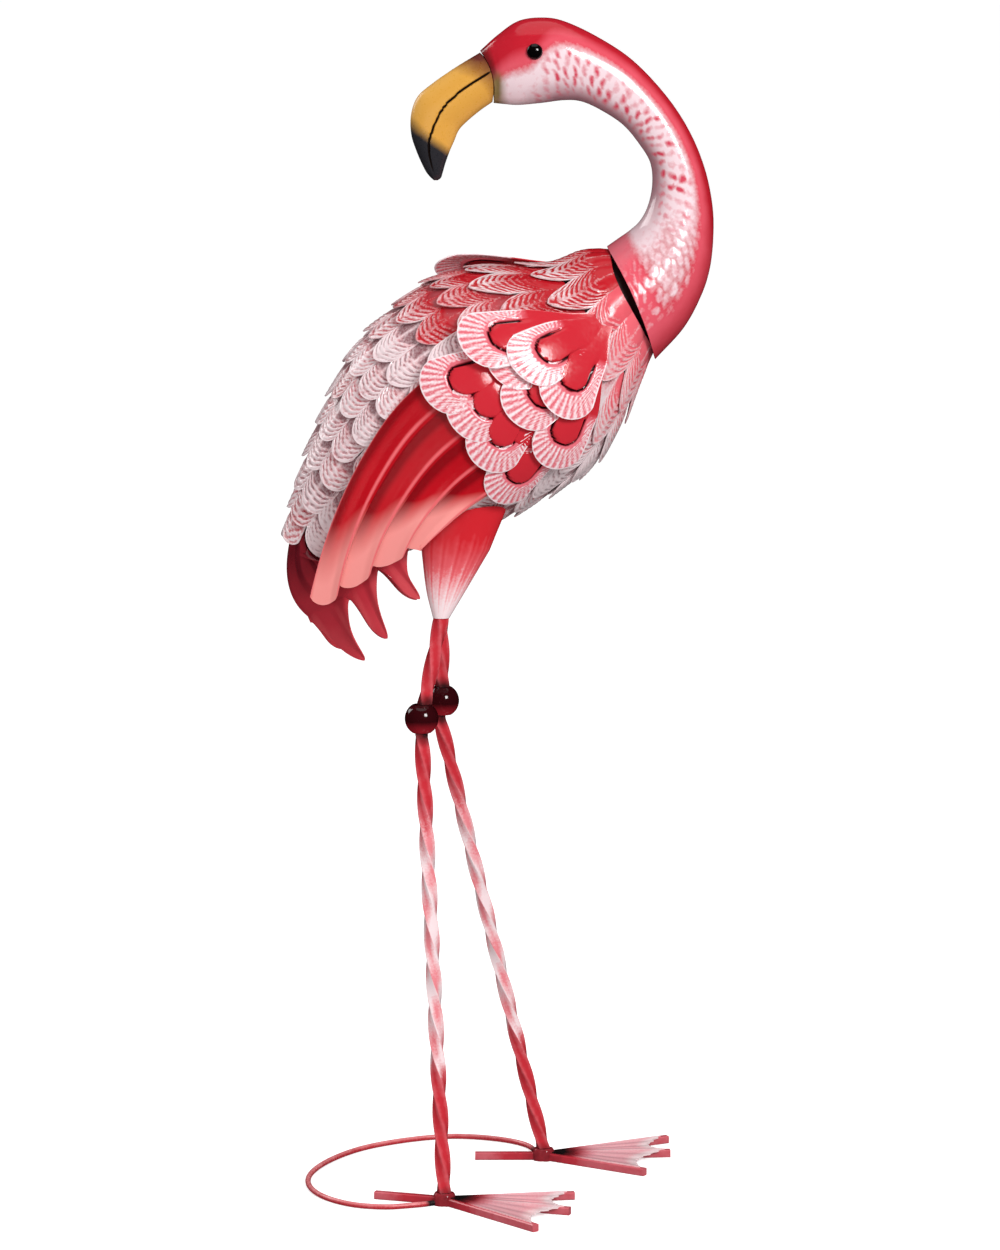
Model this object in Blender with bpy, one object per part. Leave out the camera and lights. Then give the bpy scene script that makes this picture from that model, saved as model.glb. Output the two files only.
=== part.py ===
"""Flamingo garden sculpture in painted sheet steel, standing on two twisted bar legs.

The bird faces +X with its neck curled back over its body, so that the beak points to -X.
+Y is the bird's left side, and the ground is z = 0.
The figure's outlines are drawn in thousandths of its own scale: one drawing unit is
HEIGHT / 900, which is one millimetre at the real height. Sheet, bars, balls and gaps
have their own real sizes.
"""
import math

import bmesh
import bpy
import numpy as np

# Driving dimensions, in metres
HEIGHT = 0.900  # crown of the head above the ground
SHEET = 0.0010  # steel sheet of feathers, wings and tail
NECK_WALL = 0.0014  # wall of the neck at its open mouth
CLEARANCE = 0.0003  # between two pieces that touch
LEG_BAR = 0.0092  # side of the twisted square bar
LEG_TWIST = 0.136  # length of one whole turn of the bar
KNEE_BALL = 0.0258  # diameter
EYE_DIAMETER = 0.0122
EYE_STATION = 12.28  # station of the head that the eyes sit at
EYE_RISE = 0.235  # how far above the head's middle, as a share of its half depth
EYE_HEIGHT = 0.0044  # how far the glass eye stands out
TOE_BAR = 0.0060  # side of the square toe bars
WEB_SHEET = 0.0012  # webbing between the toes
ANKLE_DIAMETER = 0.0170  # weld boss over the toes, under the leg
ANKLE_TOP = 0.0144  # the boss's diameter where the leg stands on it
ANKLE_HEIGHT = 0.0095
RING_WIRE = 0.0042  # diameter of the steadying ring
FEATHER_STAND_OFF = 0.0016  # root of a feather row above the body
FEATHER_LIFT = 0.0052  # how much higher a feather's tip stands than its root
FEATHER_DOME = 0.0014  # crown of a feather across its width
FEATHER_WIDTH = 0.0250  # at its widest, before the row divides its girth
RIDGE_HEIGHT = 0.0030  # quill ridges of the long wing feathers
WING_SINK = 0.0016  # how much deeper the wing's root lies, under the coverts
LOBE_DOME = 0.0026  # crown of a covert lobe
COVERT_STEP = 0.0030  # how much higher each layer of coverts stands at its tips

UNIT = HEIGHT / 900.0
QUARTER = math.pi / 2

# The body's long axis, from inside the neck down to the tail
AXIS_START = np.array([112.0, 0.0, 686.0])
AXIS_SLOPE = math.radians(40.0)
ALONG = np.array([-math.cos(AXIS_SLOPE), 0.0, -math.sin(AXIS_SLOPE)])
ABOVE = np.array([-math.sin(AXIS_SLOPE), 0.0, math.cos(AXIS_SLOPE)])
ACROSS = np.array([0.0, 1.0, 0.0])

# Stations in drawing units: place along the axis, centre above it, half height, half width
BODY_STATIONS = (
    (-18, 7, 24, 22), (0, 10, 35.5, 33), (35, 9.5, 49, 45.5), (76, 16, 74, 61), (112, 20, 86.5, 71),
    (145, 23, 86, 74), (188, 26, 79, 70), (233, 25, 61, 56), (270, 23, 42, 40),
    (290, 20, 27, 25), (308, 17, 11, 10), (316, 16, 5, 5),
)
PLUMAGE_STATIONS = (
    (-18, 7, 24, 22), (0, 10.5, 37.5, 34), (35, 9.5, 50.5, 46.5), (76, 16, 75.5, 62), (112, 20, 88, 72),
    (145, 23, 87.5, 75), (188, 26, 80.5, 71), (233, 25, 63, 58), (270, 23, 45, 43),
    (300, 20, 29, 28), (340, 9, 12, 12),
)
WING_STATIONS = (
    (-10, 6, 45, 42), (0, 6, 48.5, 45), (35, 7, 63.5, 57.5), (76, 14.5, 88, 73), (112, 20, 98, 82.5),
    (145, 22.5, 98.5, 85.5), (188, 23, 97, 82), (233, 18, 95, 76), (285, 11, 92, 67), (345, 1, 88, 56),
)

ROWS = 12
FIRST_ROW = 6.0
ROW_PITCH = 34.6
ROW_PITCH_LOSS = 0.73
ROW_OVERLAP = 1.62  # length of a feather in row pitches
LAST_ROW_SPAN = math.radians(62)  # the last row lies on the root of the tail and stays on the back
FEATHER_ROUNDING = 0.32  # how much shorter a feather is at its corners, as a share of its length
HIDDEN_REACH = 0.84  # plain feathers under the wings keep this share of their length
# Feathers that a wing covers: places along the body, angles round it
WING_COVER = ((60, 216), (62, 134))
# The thigh's three lower rings above its foot: rise, lean forward, half length, half width; its top
THIGH_RINGS = ((0.0, 0.0, 6.4, 6.2), (22.0, 4.0, 15.5, 9.5), (52.0, 11.0, 26.0, 13.5))
THIGH_TOP = (17.0, 32.0, 15.0)
WEB_REACH = 0.97  # share of a toe's length that the web covers
WEB_SCOOP = 0.86  # the same half way between two toes
STEPS_PER_TURN = 10  # rings of a twisted bar in one whole turn

# The bird's stance, a stride with the left foot forward
KNEE = {"right": (-54.0, 44.0, 370.5), "left": (-39.0, 44.0, 370.5)}
THIGH_FOOT = {"right": (-39.0, 40.0, 447.5), "left": (-40.0, 40.0, 447.5)}
LEG_HEAD = {"right": -0.5, "left": -5.5}  # how far behind the ball's middle a lower leg meets it
HUB = {"right": (-37.0, 80.0), "left": (40.0, 62.0)}
# Toes as (heading in degrees from straight ahead, length), the back toe last
TOES = {
    "right": ((-50, 108), (-18.5, 101), (9, 101), (161.5, 56)),
    "left": ((-34, 95), (5, 101), (29, 114), (180, 54)),
}
SIDES = {"right": -1.0, "left": 1.0}

RED = (0.62, 0.02, 0.035)


def material(name, colour, roughness=0.3, metallic=0.0):
    made = bpy.data.materials.new(name)
    made.use_nodes = True
    shader = made.node_tree.nodes["Principled BSDF"]
    shader.inputs["Base Color"].default_value = (*colour, 1.0)
    shader.inputs["Roughness"].default_value = roughness
    shader.inputs["Metallic"].default_value = metallic
    return made


def add_object(name, points, faces, finish, smooth=True):
    """One closed piece from its points in metres, with its faces turned outwards."""
    mesh = bpy.data.meshes.new(name)
    mesh.from_pydata([tuple(float(c) for c in p) for p in points], [], faces)
    work = bmesh.new()
    work.from_mesh(mesh)
    bmesh.ops.recalc_face_normals(work, faces=work.faces)
    if work.calc_volume(signed=True) < 0:
        bmesh.ops.reverse_faces(work, faces=work.faces)
    work.to_mesh(mesh)
    work.free()
    mesh.materials.append(finish)
    if smooth:
        mesh.shade_smooth()
        mesh.set_sharp_from_angle(angle=math.radians(35))
    made = bpy.data.objects.new(name, mesh)
    bpy.context.collection.objects.link(made)
    return made


def eased(table, at):
    """Smooth values of a table's columns at a place given by its first column."""
    rows = np.array(table, float)
    places = rows[:, 0]
    slopes = np.gradient(rows[:, 1:], places, axis=0)
    i = int(np.clip(np.searchsorted(places, at) - 1, 0, len(places) - 2))
    span = places[i + 1] - places[i]
    u = (at - places[i]) / span
    low = (2 * u**3 - 3 * u**2 + 1) * rows[i, 1:] + (u**3 - 2 * u**2 + u) * span * slopes[i]
    high = (3 * u**2 - 2 * u**3) * rows[i + 1, 1:] + (u**3 - u**2) * span * slopes[i + 1]
    return low + high


def on_hull(table, along, angle, height=0.0):
    """A point round the body: angle 0 is the back, +90 degrees the left side; height in metres."""
    centre, half_height, half_width = eased(table, along)
    flat = AXIS_START + ALONG * along
    lift = height / UNIT
    up = centre + (half_height + lift) * math.cos(angle)
    out = (half_width + lift) * math.sin(angle)
    return (flat + ABOVE * up + ACROSS * out) * UNIT


def loft(name, rings, finish, smooth=True):
    """A closed solid through rings of equal count, each end closed by a flat face."""
    count = len(rings[0])
    points = [p for ring in rings for p in ring]
    faces = []
    for i in range(len(rings) - 1):
        for j in range(count):
            k = (j + 1) % count
            faces.append((i * count + j, i * count + k, (i + 1) * count + k, (i + 1) * count + j))
    faces.append(tuple(range(count)))
    faces.append(tuple(range((len(rings) - 1) * count, len(rings) * count)))
    return add_object(name, points, faces, finish, smooth)


def grid_normals(grid):
    """Unit normals of a grid of points, from the differences along its rows and columns."""
    down = np.gradient(grid, axis=0)
    side = np.gradient(grid, axis=1)
    normals = np.cross(down, side)
    return normals / np.linalg.norm(normals, axis=2, keepdims=True)


def plate(name, grid, thickness, finish, inward):
    """A curved sheet from a grid of points on its outer face, thickened towards a point."""
    grid = np.array(grid, float)
    normals = grid_normals(grid)
    outwards = np.sum(normals * (grid - inward), axis=2).mean()
    inner = grid - normals * math.copysign(thickness, outwards)
    rows, columns = grid.shape[:2]
    points = list(grid.reshape(-1, 3)) + list(inner.reshape(-1, 3))
    shift = rows * columns
    faces = []
    for i in range(rows - 1):
        for j in range(columns - 1):
            a = i * columns + j
            b, c, d = a + 1, a + columns + 1, a + columns
            faces += [(a, b, c), (a, c, d), (a + shift, c + shift, b + shift)]
            faces.append((a + shift, d + shift, c + shift))
    border = [j for j in range(columns)]
    border += [i * columns + columns - 1 for i in range(1, rows)]
    border += [(rows - 1) * columns + j for j in range(columns - 2, -1, -1)]
    border += [i * columns for i in range(rows - 2, 0, -1)]
    for a, b in zip(border, border[1:] + border[:1]):
        faces += [(a, a + shift, b + shift), (a, b + shift, b)]
    return add_object(name, points, faces, finish)


def fuse(name, pieces, finish):
    """Overlapping solids joined into one body."""
    base = pieces[0]
    for other in pieces[1:]:
        step = base.modifiers.new("weld", "BOOLEAN")
        step.operation = "UNION"
        step.object = other
    bpy.context.view_layer.update()
    graph = bpy.context.evaluated_depsgraph_get()
    joined = bpy.data.meshes.new_from_object(base.evaluated_get(graph))
    for piece in pieces:
        bpy.data.objects.remove(piece)
    joined.name = name
    joined.materials.clear()
    joined.materials.append(finish)
    made = bpy.data.objects.new(name, joined)
    bpy.context.collection.objects.link(made)
    return made


def make_body():
    """The shell that the feathers are welded to: one egg, its nose inside the neck."""
    places = (-18, 0, 28, 56, 84, 112, 145, 178, 210, 240, 268, 290, 305, 316)
    sides = 16
    rings = [[on_hull(BODY_STATIONS, s, 2 * math.pi * j / sides) for j in range(sides)] for s in places]
    return loft("body_shell", rings, material("body_paint", (0.12, 0.01, 0.015)))


def rim_place(angle):
    """Where the neck's mouth lies along the body: further back below than above."""
    return -8.0 * math.cos(angle) - MOUTH_BOW * math.sin(angle) ** 2


def under_wing(place, angle):
    """Whether a feather is covered by a wing."""
    (first, last), (upper, lower) = WING_COVER
    return first < place < last and math.radians(upper) < abs(angle) < math.radians(lower)


def row_place(row):
    return FIRST_ROW + ROW_PITCH * row - ROW_PITCH_LOSS * row * row


def feather_row(row):
    """One ring of overlapping feathers, each row lying over the root of the row behind it."""
    start = row_place(row)
    length = (row_place(row + 1) - start) * ROW_OVERLAP
    _, tall, wide = eased(PLUMAGE_STATIONS, start + length / 2)
    girth = 2 * math.pi * math.hypot(tall, wide) / math.sqrt(2) * UNIT
    count = 2 * max(3, round(girth / FEATHER_WIDTH / 2))
    step = 2 * math.pi / count
    nape = max(0.0, 1 - row / 4)
    open_row = row == ROWS - 1
    pointed = max(0.0, 1 - row / 6)
    columns = []
    for j in range(count):
        middle = (j + 0.5 * (row % 2)) * step
        centre = math.remainder(middle, 2 * math.pi)
        if open_row and abs(centre) > LAST_ROW_SPAN:
            continue
        hidden = under_wing(start + length * 0.8, centre)
        shares = (-1.0, 0.0) if hidden else (-1.0, -0.5, 0.0, 0.5)
        for share in shares:
            angle = middle + share * step / 2
            root = start + nape * rim_place(angle)
            if hidden:
                reach = length * HIDDEN_REACH
                crown = 0.0
            else:
                reach = length * (1 - FEATHER_ROUNDING * abs(share) ** (2.3 - 0.8 * pointed))
                crown = FEATHER_DOME * (1 - share * share)
            outer = on_hull(PLUMAGE_STATIONS, root, angle, FEATHER_STAND_OFF)
            top = FEATHER_STAND_OFF + FEATHER_LIFT * reach / length + crown
            edge = on_hull(PLUMAGE_STATIONS, root + reach, angle, top)
            inner = on_hull(PLUMAGE_STATIONS, root + reach, angle, top - SHEET)
            columns.append((outer, edge, inner))
    points = [p for column in columns for p in column]
    total = len(columns)
    faces = []
    for j in range(total - 1 if open_row else total):
        a, b = 3 * j, 3 * ((j + 1) % total)
        faces += [(a, b, b + 1), (a, b + 1, a + 1)]
        faces += [(a + 1, b + 1, b + 2), (a + 1, b + 2, a + 2)]
        faces += [(a + 2, b + 2, b), (a + 2, b, a)]
    if open_row:
        last = 3 * total - 3
        faces += [(0, 1, 2), (last, last + 2, last + 1)]
    paint = material(f"feather_paint_{row + 1:02d}", (0.66, 0.1 + 0.03 * row, 0.12 + 0.03 * row), 0.35)
    return add_object(f"feather_row_{row + 1:02d}", points, faces, paint, smooth=False)


# Neck and head from the mouth to the beak: a point of the outer and of the inner outline, half width
NECK_STATIONS = (
    (124.0, 641.0, 87.0, 727.0, 43.0), (145.3, 664.5, 95.5, 733.0, 38.5),
    (158.0, 687.5, 104.0, 739.0, 33.5), (165.0, 708.5, 112.0, 746.5, 29.5),
    (167.8, 732.0, 118.0, 758.0, 25.5), (167.2, 757.5, 121.2, 774.0, 22.0),
    (161.0, 786.5, 119.6, 790.5, 19.8), (149.0, 815.0, 111.3, 804.5, 18.6),
    (131.3, 841.5, 99.0, 819.0, 18.6), (106.3, 867.7, 82.5, 830.0, 19.5),
    (79.8, 885.3, 67.5, 836.7, 21.0), (54.1, 897.3, 54.2, 837.7, 23.0),
    (36.7, 900.0, 36.8, 835.6, 24.3), (19.3, 897.3, 19.3, 834.1, 23.5),
    (4.0, 887.0, 9.0, 834.8, 20.5), (-9.4, 875.0, 0.8, 835.6, 16.4),
)
MOUTH_DEPTH = 18.0  # the body's nose reaches this far into the neck
MOUTH_SEAT = (6.0, 27.0, 24.5)  # of the neck's end at that nose: above the axis, half height, half width
MOUTH_BOW = 4.0  # the mouth's sides are cut back towards the head
JOINT_BOW = 5.0  # the seam of head and beak bows towards the head at the sides


def outline_frame(stations, at):
    """Centre, forward direction, half depth as a vector and half width at a station number."""
    table = [(i, *row) for i, row in enumerate(stations)]
    middles = []
    for place in (at - 0.02, at + 0.02, at):
        x_out, z_out, x_in, z_in, width = eased(table, place)
        middles.append(np.array([(x_out + x_in) / 2, 0.0, (z_out + z_in) / 2]))
    forward = middles[1] - middles[0]
    forward /= np.linalg.norm(forward)
    return middles[2], forward, np.array([(x_out - x_in) / 2, 0.0, (z_out - z_in) / 2]), width


def neck_ring(at, sides, bow=0.0, wall=0.0):
    centre, forward, deep, width = outline_frame(NECK_STATIONS, at)
    depth = np.linalg.norm(deep)
    thinner = wall / UNIT
    ring = []
    for j in range(sides):
        angle = 2 * math.pi * j / sides
        flat = deep * (1 - thinner / depth) * math.cos(angle)
        flat = flat + ACROSS * (width - thinner) * math.sin(angle)
        ring.append((centre + flat + forward * bow * math.sin(angle) ** 2) * UNIT)
    return ring


def make_neck():
    """Neck and head: two pressed halves welded into one shell, open at its foot over the body."""
    sides = 14
    last = len(NECK_STATIONS) - 1
    nose = []
    above, tall, wide = MOUTH_SEAT
    for j in range(sides):
        angle = 2 * math.pi * j / sides
        flat = AXIS_START - ALONG * (MOUTH_DEPTH + CLEARANCE / UNIT) + ABOVE * above
        flat = flat - ABOVE * tall * math.cos(angle) + ACROSS * wide * math.sin(angle)
        nose.append(flat * UNIT)
    rings = [nose, neck_ring(0, sides, MOUTH_BOW, NECK_WALL), neck_ring(0, sides, MOUTH_BOW)]
    for at in (*range(1, 10), 9.75, 10.5, 11.25, 12, 12.7, 13.4, 14, 14.5):
        rings.append(neck_ring(at, sides))
    rings.append(neck_ring(last, sides, -JOINT_BOW))
    return loft("neck", rings, material("neck_paint", RED))


# The beak from its seam to its tip: a point of the upper and of the lower outline, half width
BEAK_STATIONS = (
    (-9.6, 873.6, 0.0, 836.4, 15.4), (-29.0, 861.8, -9.5, 829.8, 14.5),
    (-46.0, 850.0, -19.5, 821.5, 13.5), (-56.8, 840.3, -25.5, 815.0, 12.4),
    (-61.6, 827.5, -29.2, 806.5, 11.2), (-61.7, 812.5, -32.3, 799.5, 10.0),
    (-57.6, 799.0, -35.4, 791.0, 8.2), (-51.5, 785.5, -37.6, 783.5, 6.0),
    (-47.8, 780.2, -39.0, 779.2, 4.2), (-44.6, 777.2, -41.4, 777.2, 1.8),
)
LIP_GROOVE = 1.3  # depth of the line between the two halves of the beak
# Angles round the beak, with the groove of the lips at each side
BEAK_ANGLES = (0, 30, 60, 82, 90, 98, 120, 150, 180, 210, 240, 262, 270, 278, 300, 330)


def make_beak():
    """The hooked bill, pressed in two halves, with the line of the mouth sunk in its sides."""
    rings = []
    for number in range(len(BEAK_STATIONS)):
        centre, forward, deep, width = outline_frame(BEAK_STATIONS, number)
        bow = (JOINT_BOW, JOINT_BOW / 2)[number] if number < 2 else 0.0
        if number == 0:
            centre = centre + forward * CLEARANCE / UNIT
        groove = LIP_GROOVE if number < 5 else LIP_GROOVE / 3
        ring = []
        for degrees in BEAK_ANGLES:
            angle = math.radians(degrees)
            side = width - (groove if degrees % 180 == 90 else 0.0)
            flat = deep * math.cos(angle) + ACROSS * side * math.sin(angle)
            ring.append((centre + flat - forward * bow * math.sin(angle) ** 2) * UNIT)
        rings.append(ring)
    return loft("beak", rings, material("beak_paint", (0.72, 0.4, 0.06)))


def make_eye(side):
    """A black glass eye, domed, set flat on the side of the head."""
    middle, _, deep, width = outline_frame(NECK_STATIONS, EYE_STATION)
    centre = middle + deep * EYE_RISE
    out = width * math.sqrt(1 - EYE_RISE**2) * UNIT + 1.5 * CLEARANCE
    radius = EYE_DIAMETER / 2
    sides = 12
    rings = []
    for step in range(4):
        rise = step * QUARTER / 3.4
        ring = []
        for j in range(sides):
            angle = 2 * math.pi * j / sides
            round_x = radius * math.cos(rise) * math.cos(angle)
            round_z = radius * math.cos(rise) * math.sin(angle)
            y = SIDES[side] * (out + EYE_HEIGHT * math.sin(rise))
            ring.append(np.array([centre[0] * UNIT + round_x, y, centre[2] * UNIT + round_z]))
        rings.append(ring)
    return loft(f"eye_{side}", rings, material(f"eye_glass_{side}", (0.01, 0.01, 0.01), 0.05))


# The long wing feathers in (place along the axis, angle round the body): upper edge, lower edge
WING_ROOT = ((112, -67), (122, -133))
WING_MIDDLE = ((226, -70), (184, -126))
WING_ENDS = ((333, -97), (310, -103), (281, -108), (253, -114), (243, -120))
WING_FEATHERS = 4
LOBE_REACH = (2.0, 7.0)  # how far each feather's round end stands past the notches: along, down
LOBE_TURN = 1.2  # drawing units of girth in one degree at the wing's end
RIDGE_PROFILE = ((0.0, 0.0), (0.45, 0.35), (0.8, 1.0))  # across a feather, share of the ridge's height


def wing_point(side, u, v, height):
    """A point of the long-feather panel: u from its root to its end, v from its upper edge down."""
    spot = v * WING_FEATHERS
    end_row = [(i, *WING_ENDS[i]) for i in range(len(WING_ENDS))]
    end = eased(end_row, spot)
    start = np.array(WING_ROOT[0]) * (1 - v) + np.array(WING_ROOT[1]) * v
    middle = np.array(WING_MIDDLE[0]) * (1 - v) + np.array(WING_MIDDLE[1]) * v
    bend = 2 * middle - (start + end) / 2
    place = start * (1 - u) ** 2 + bend * 2 * u * (1 - u) + end * u * u
    lobe = math.sin(math.pi * (spot % 1.0)) ** 0.6 * u**6
    angle = math.radians(place[1] - LOBE_REACH[1] * lobe / LOBE_TURN) * -SIDES[side]
    return on_hull(WING_STATIONS, place[0] + LOBE_REACH[0] * lobe, angle, height)


def make_wing(side):
    """The panel of long wing feathers: one pressed sheet with a ridge along each feather."""
    grid = []
    steps = 7
    for i in range(steps):
        u = i / (steps - 1)
        swell = min(1.0, max(0.0, u * 1.7 - 0.3))
        sink = WING_SINK * (1 - u) ** 2
        row = []
        for feather in range(WING_FEATHERS):
            for share, rise in RIDGE_PROFILE:
                v = (feather + share) / WING_FEATHERS
                row.append(wing_point(side, u, v, RIDGE_HEIGHT * rise * swell - sink))
        row.append(wing_point(side, u, 1.0, -sink))
        grid.append(row)
    inward = np.array([0.0, 0.0, 560.0]) * UNIT
    return plate(f"wing_{side}", grid, SHEET, material(f"wing_paint_{side}", RED), inward)


# Covert sheets: root (place, angle), layer, and each lobe as (place, angle) of its tip
COVERTS = {
    "rear": ((82, -90), 1, ((166, -70), (165, -91), (169, -112))),
    "lower": ((94, -116), 0, ((158, -107), (179, -131))),
    "middle": ((46, -102), 2, ((114, -76), (128, -100), (131, -131))),
    "front": ((24, -86), 3.6, ((121, -65), (102, -86), (99, -112))),
}
# The left wing's front coverts are welded higher, so that they show over the back
HIGHER_COVERT = {"front": (-14, 37)}
ROUND_MM = 1.48  # drawing units of girth in one degree, used to lay the sheets out flat


def covert_outline(root, tips):
    """Each lobe's direction and length in the sheet laid flat, from its upper edge down."""
    lobes = []
    for place, angle in tips:
        x = place - root[0]
        y = (angle - root[1]) * ROUND_MM
        lobes.append((math.atan2(y, x), math.hypot(x, y)))
    return lobes


def make_covert(side, name):
    """A fan of shell-shaped covert lobes, pressed from one sheet, domed lobe by lobe."""
    root, layer, tips = COVERTS[name]
    if side == "left" and name in HIGHER_COVERT:
        back, up = HIGHER_COVERT[name]
        root = (root[0] + back, root[1] + up)
        tips = [(place + back, angle + up) for place, angle in tips]
    lobes = covert_outline(root, tips)
    half = abs(lobes[0][0] - lobes[-1][0]) / (len(lobes) - 1) / 2
    tip_height = COVERT_STEP * (layer + 0.75)
    grid = []
    shares = (-1.0, -0.55, 0.0, 0.55)
    radii = (0.12, 0.5, 0.84, 1.0)
    spokes = [(i, share) for i in range(len(lobes)) for share in shares] + [(len(lobes) - 1, 1.0)]
    for radius in radii:
        row = []
        for i, share in spokes:
            angle = lobes[i][0] - half * share
            length = lobes[i][1] * (1 - 0.24 * abs(share) ** 2.4)
            if share == -1.0 and i > 0:
                length = 0.76 * (lobes[i][1] + lobes[i - 1][1]) / 2
            reach = length * radius
            crown = (1 - share * share) * math.sin(math.pi * min(1.0, radius * 1.05)) ** 0.8
            height = tip_height * radius - SHEET * 0.2 + LOBE_DOME * crown * radius
            place = root[0] + reach * math.cos(angle)
            turn = math.radians(root[1] + reach * math.sin(angle) / ROUND_MM) * -SIDES[side]
            row.append(on_hull(WING_STATIONS, place, turn, height))
        grid.append(row)
    inward = np.array([40.0, 0.0, 620.0]) * UNIT
    return plate(f"coverts_{name}_{side}", grid, SHEET, material(f"covert_paint_{name}_{side}", RED), inward)


# The tail fan from its spine outwards: root (place, angle, height), middle, then notches and tips
TAIL_ROOT = ((292, 0, -4.0), (296, 36, -4.0), (310, 56, -2.0), (322, 82, 9.0))
TAIL_MIDDLE = ((-158, 0, 479), (-144, 31, 479), (-124, 42, 480), (-113, 47, 490))
# The left half, with the sign +1, was bent a little further back and down
TAIL_NOTCHES = {
    -1: ((-140, 0, 438), (-109, 31, 460), (-86, 45, 486), (-63, 50, 502)),
    1: ((-140, 0, 438), (-111, 31, 451), (-90, 45, 473), (-67, 50, 488)),
}
TAIL_TIPS = {
    -1: ((-98, 17, 411), (-80, 38, 431), (-55, 49, 463)),
    1: ((-115, 17, 415), (-83, 38, 420), (-59, 49, 449)),
}
SPIKE_BASE = 0.12  # where spikes begin above their notches, as a share of the way to the middle


def make_tail():
    """The tail: one curved sheet cut into six spikes, welded under the last feathers."""
    root = [on_hull(PLUMAGE_STATIONS, s, math.radians(a), h * UNIT) / UNIT for s, a, h in TAIL_ROOT]
    columns = []
    for step in range(-6, 7):
        half = 1 if step > 0 else -1
        at = abs(step) / 2
        a, b, notch = (
            eased([(i, *source[i]) for i in range(4)], at) for source in (root, TAIL_MIDDLE, TAIL_NOTCHES[half])
        )
        base = notch + (b - notch) * SPIKE_BASE
        column = []
        for t in (0.0, 0.35, 0.7, 1.0):
            column.append(a * (2 * t * t - 3 * t + 1) + b * 4 * t * (1 - t) + base * (2 * t * t - t))
        column.append(np.array(TAIL_TIPS[half][int(at)], float) if step % 2 else notch)
        columns.append([point * np.array([1.0, half, 1.0]) * UNIT for point in column])
    grid = np.swapaxes(np.array(columns), 0, 1)
    inward = np.array([-80.0, 0.0, 500.0]) * UNIT
    return plate("tail", grid, SHEET, material("tail_paint", (0.35, 0.012, 0.02), 0.2), inward)


def belly_height(x, y, gap):
    """How high a thing under the bird can reach at x, y before it meets the feathers."""
    low, high = 430.0 * UNIT, 640.0 * UNIT
    for _ in range(40):
        z = (low + high) / 2
        flat = np.array([x, 0.0, z]) / UNIT - AXIS_START
        along = float(flat @ ALONG)
        centre, tall, wide = eased(PLUMAGE_STATIONS, along)
        up = float(flat @ ABOVE) - centre
        inside = (up / (tall + gap / UNIT)) ** 2 + (y / UNIT / (wide + gap / UNIT)) ** 2 < 1
        if inside:
            high = z
        else:
            low = z
    return low


def make_thigh(side):
    """A flattened sheet cone from the belly down to the leg."""
    sign = SIDES[side]
    foot_x, foot_y, foot_z = THIGH_FOOT[side]
    sides = 14
    gap = FEATHER_STAND_OFF + FEATHER_LIFT + FEATHER_DOME + 4 * CLEARANCE
    rings = []
    for rise, lean, long, wide in THIGH_RINGS:
        ring = []
        for j in range(sides):
            angle = 2 * math.pi * j / sides
            x = foot_x + lean + long * math.cos(angle)
            ring.append(np.array([x, sign * foot_y + wide * math.sin(angle), foot_z + rise]) * UNIT)
        rings.append(ring)
    lean, long, wide = THIGH_TOP
    for share in (1.0, 0.66, 0.33, 0.04):
        ring = []
        for j in range(sides):
            angle = 2 * math.pi * j / sides
            x = (foot_x + lean + long * share * math.cos(angle)) * UNIT
            y = (sign * (foot_y + 1.0) + wide * share * math.sin(angle)) * UNIT
            ring.append(np.array([x, y, belly_height(x, y, gap)]))
        rings.append(ring)
    return loft(f"thigh_{side}", rings, material(f"thigh_paint_{side}", RED))


def twisted_bar(name, low, high, bottom, top, finish):
    """A square bar between two points, cut level at both ends, twisted left-handed."""
    steps = max(2, round((top - bottom) / LEG_TWIST * STEPS_PER_TURN))
    half = LEG_BAR / math.sqrt(2)
    rings = []
    for i in range(steps + 1):
        z = bottom + (top - bottom) * i / steps
        share = (z - low[2]) / (high[2] - low[2])
        x = low[0] + (high[0] - low[0]) * share
        y = low[1] + (high[1] - low[1]) * share
        turn = -2 * math.pi * z / LEG_TWIST
        corners = [turn + QUARTER * k for k in range(4)]
        rings.append([np.array([x + half * math.cos(a), y + half * math.sin(a), z]) for a in corners])
    return loft(name, rings, finish, smooth=False)


def make_leg(side):
    """Leg of one side: bar, knee ball and bar, each butted and welded to the next."""
    sign = SIDES[side]
    knee = np.array([KNEE[side][0], sign * KNEE[side][1], KNEE[side][2]]) * UNIT
    foot = np.array([HUB[side][0] * UNIT, sign * HUB[side][1] * UNIT, ANKLE_HEIGHT])
    hip = np.array([THIGH_FOOT[side][0], sign * THIGH_FOOT[side][1], THIGH_FOOT[side][2]]) * UNIT
    radius = KNEE_BALL / 2
    seat = LEG_BAR / math.sqrt(2) + 2 * CLEARANCE
    flat = math.sqrt(radius**2 - seat**2)
    paint = material(f"leg_paint_{side}", (0.6, 0.05, 0.07))
    lower_top = knee[2] - flat - CLEARANCE
    head = knee + np.array([LEG_HEAD[side], 0.0, 0.0]) * UNIT
    twisted_bar(f"lower_leg_{side}", foot, head, ANKLE_HEIGHT + CLEARANCE, lower_top, paint)
    upper_top = hip[2] - CLEARANCE
    twisted_bar(f"upper_leg_{side}", knee, hip, knee[2] + flat + CLEARANCE, upper_top, paint)
    sides = 14
    levels = 6
    tilt = math.asin(flat / radius)
    rings = []
    for i in range(levels + 1):
        rise = -tilt + 2 * tilt * i / levels
        ring = []
        for j in range(sides):
            angle = 2 * math.pi * j / sides
            reach = radius * math.cos(rise)
            offset = np.array([reach * math.cos(angle), reach * math.sin(angle), radius * math.sin(rise)])
            ring.append(knee + offset)
        rings.append(ring)
    loft(f"knee_ball_{side}", rings, material(f"ball_paint_{side}", (0.2, 0.01, 0.015), 0.08))


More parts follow.
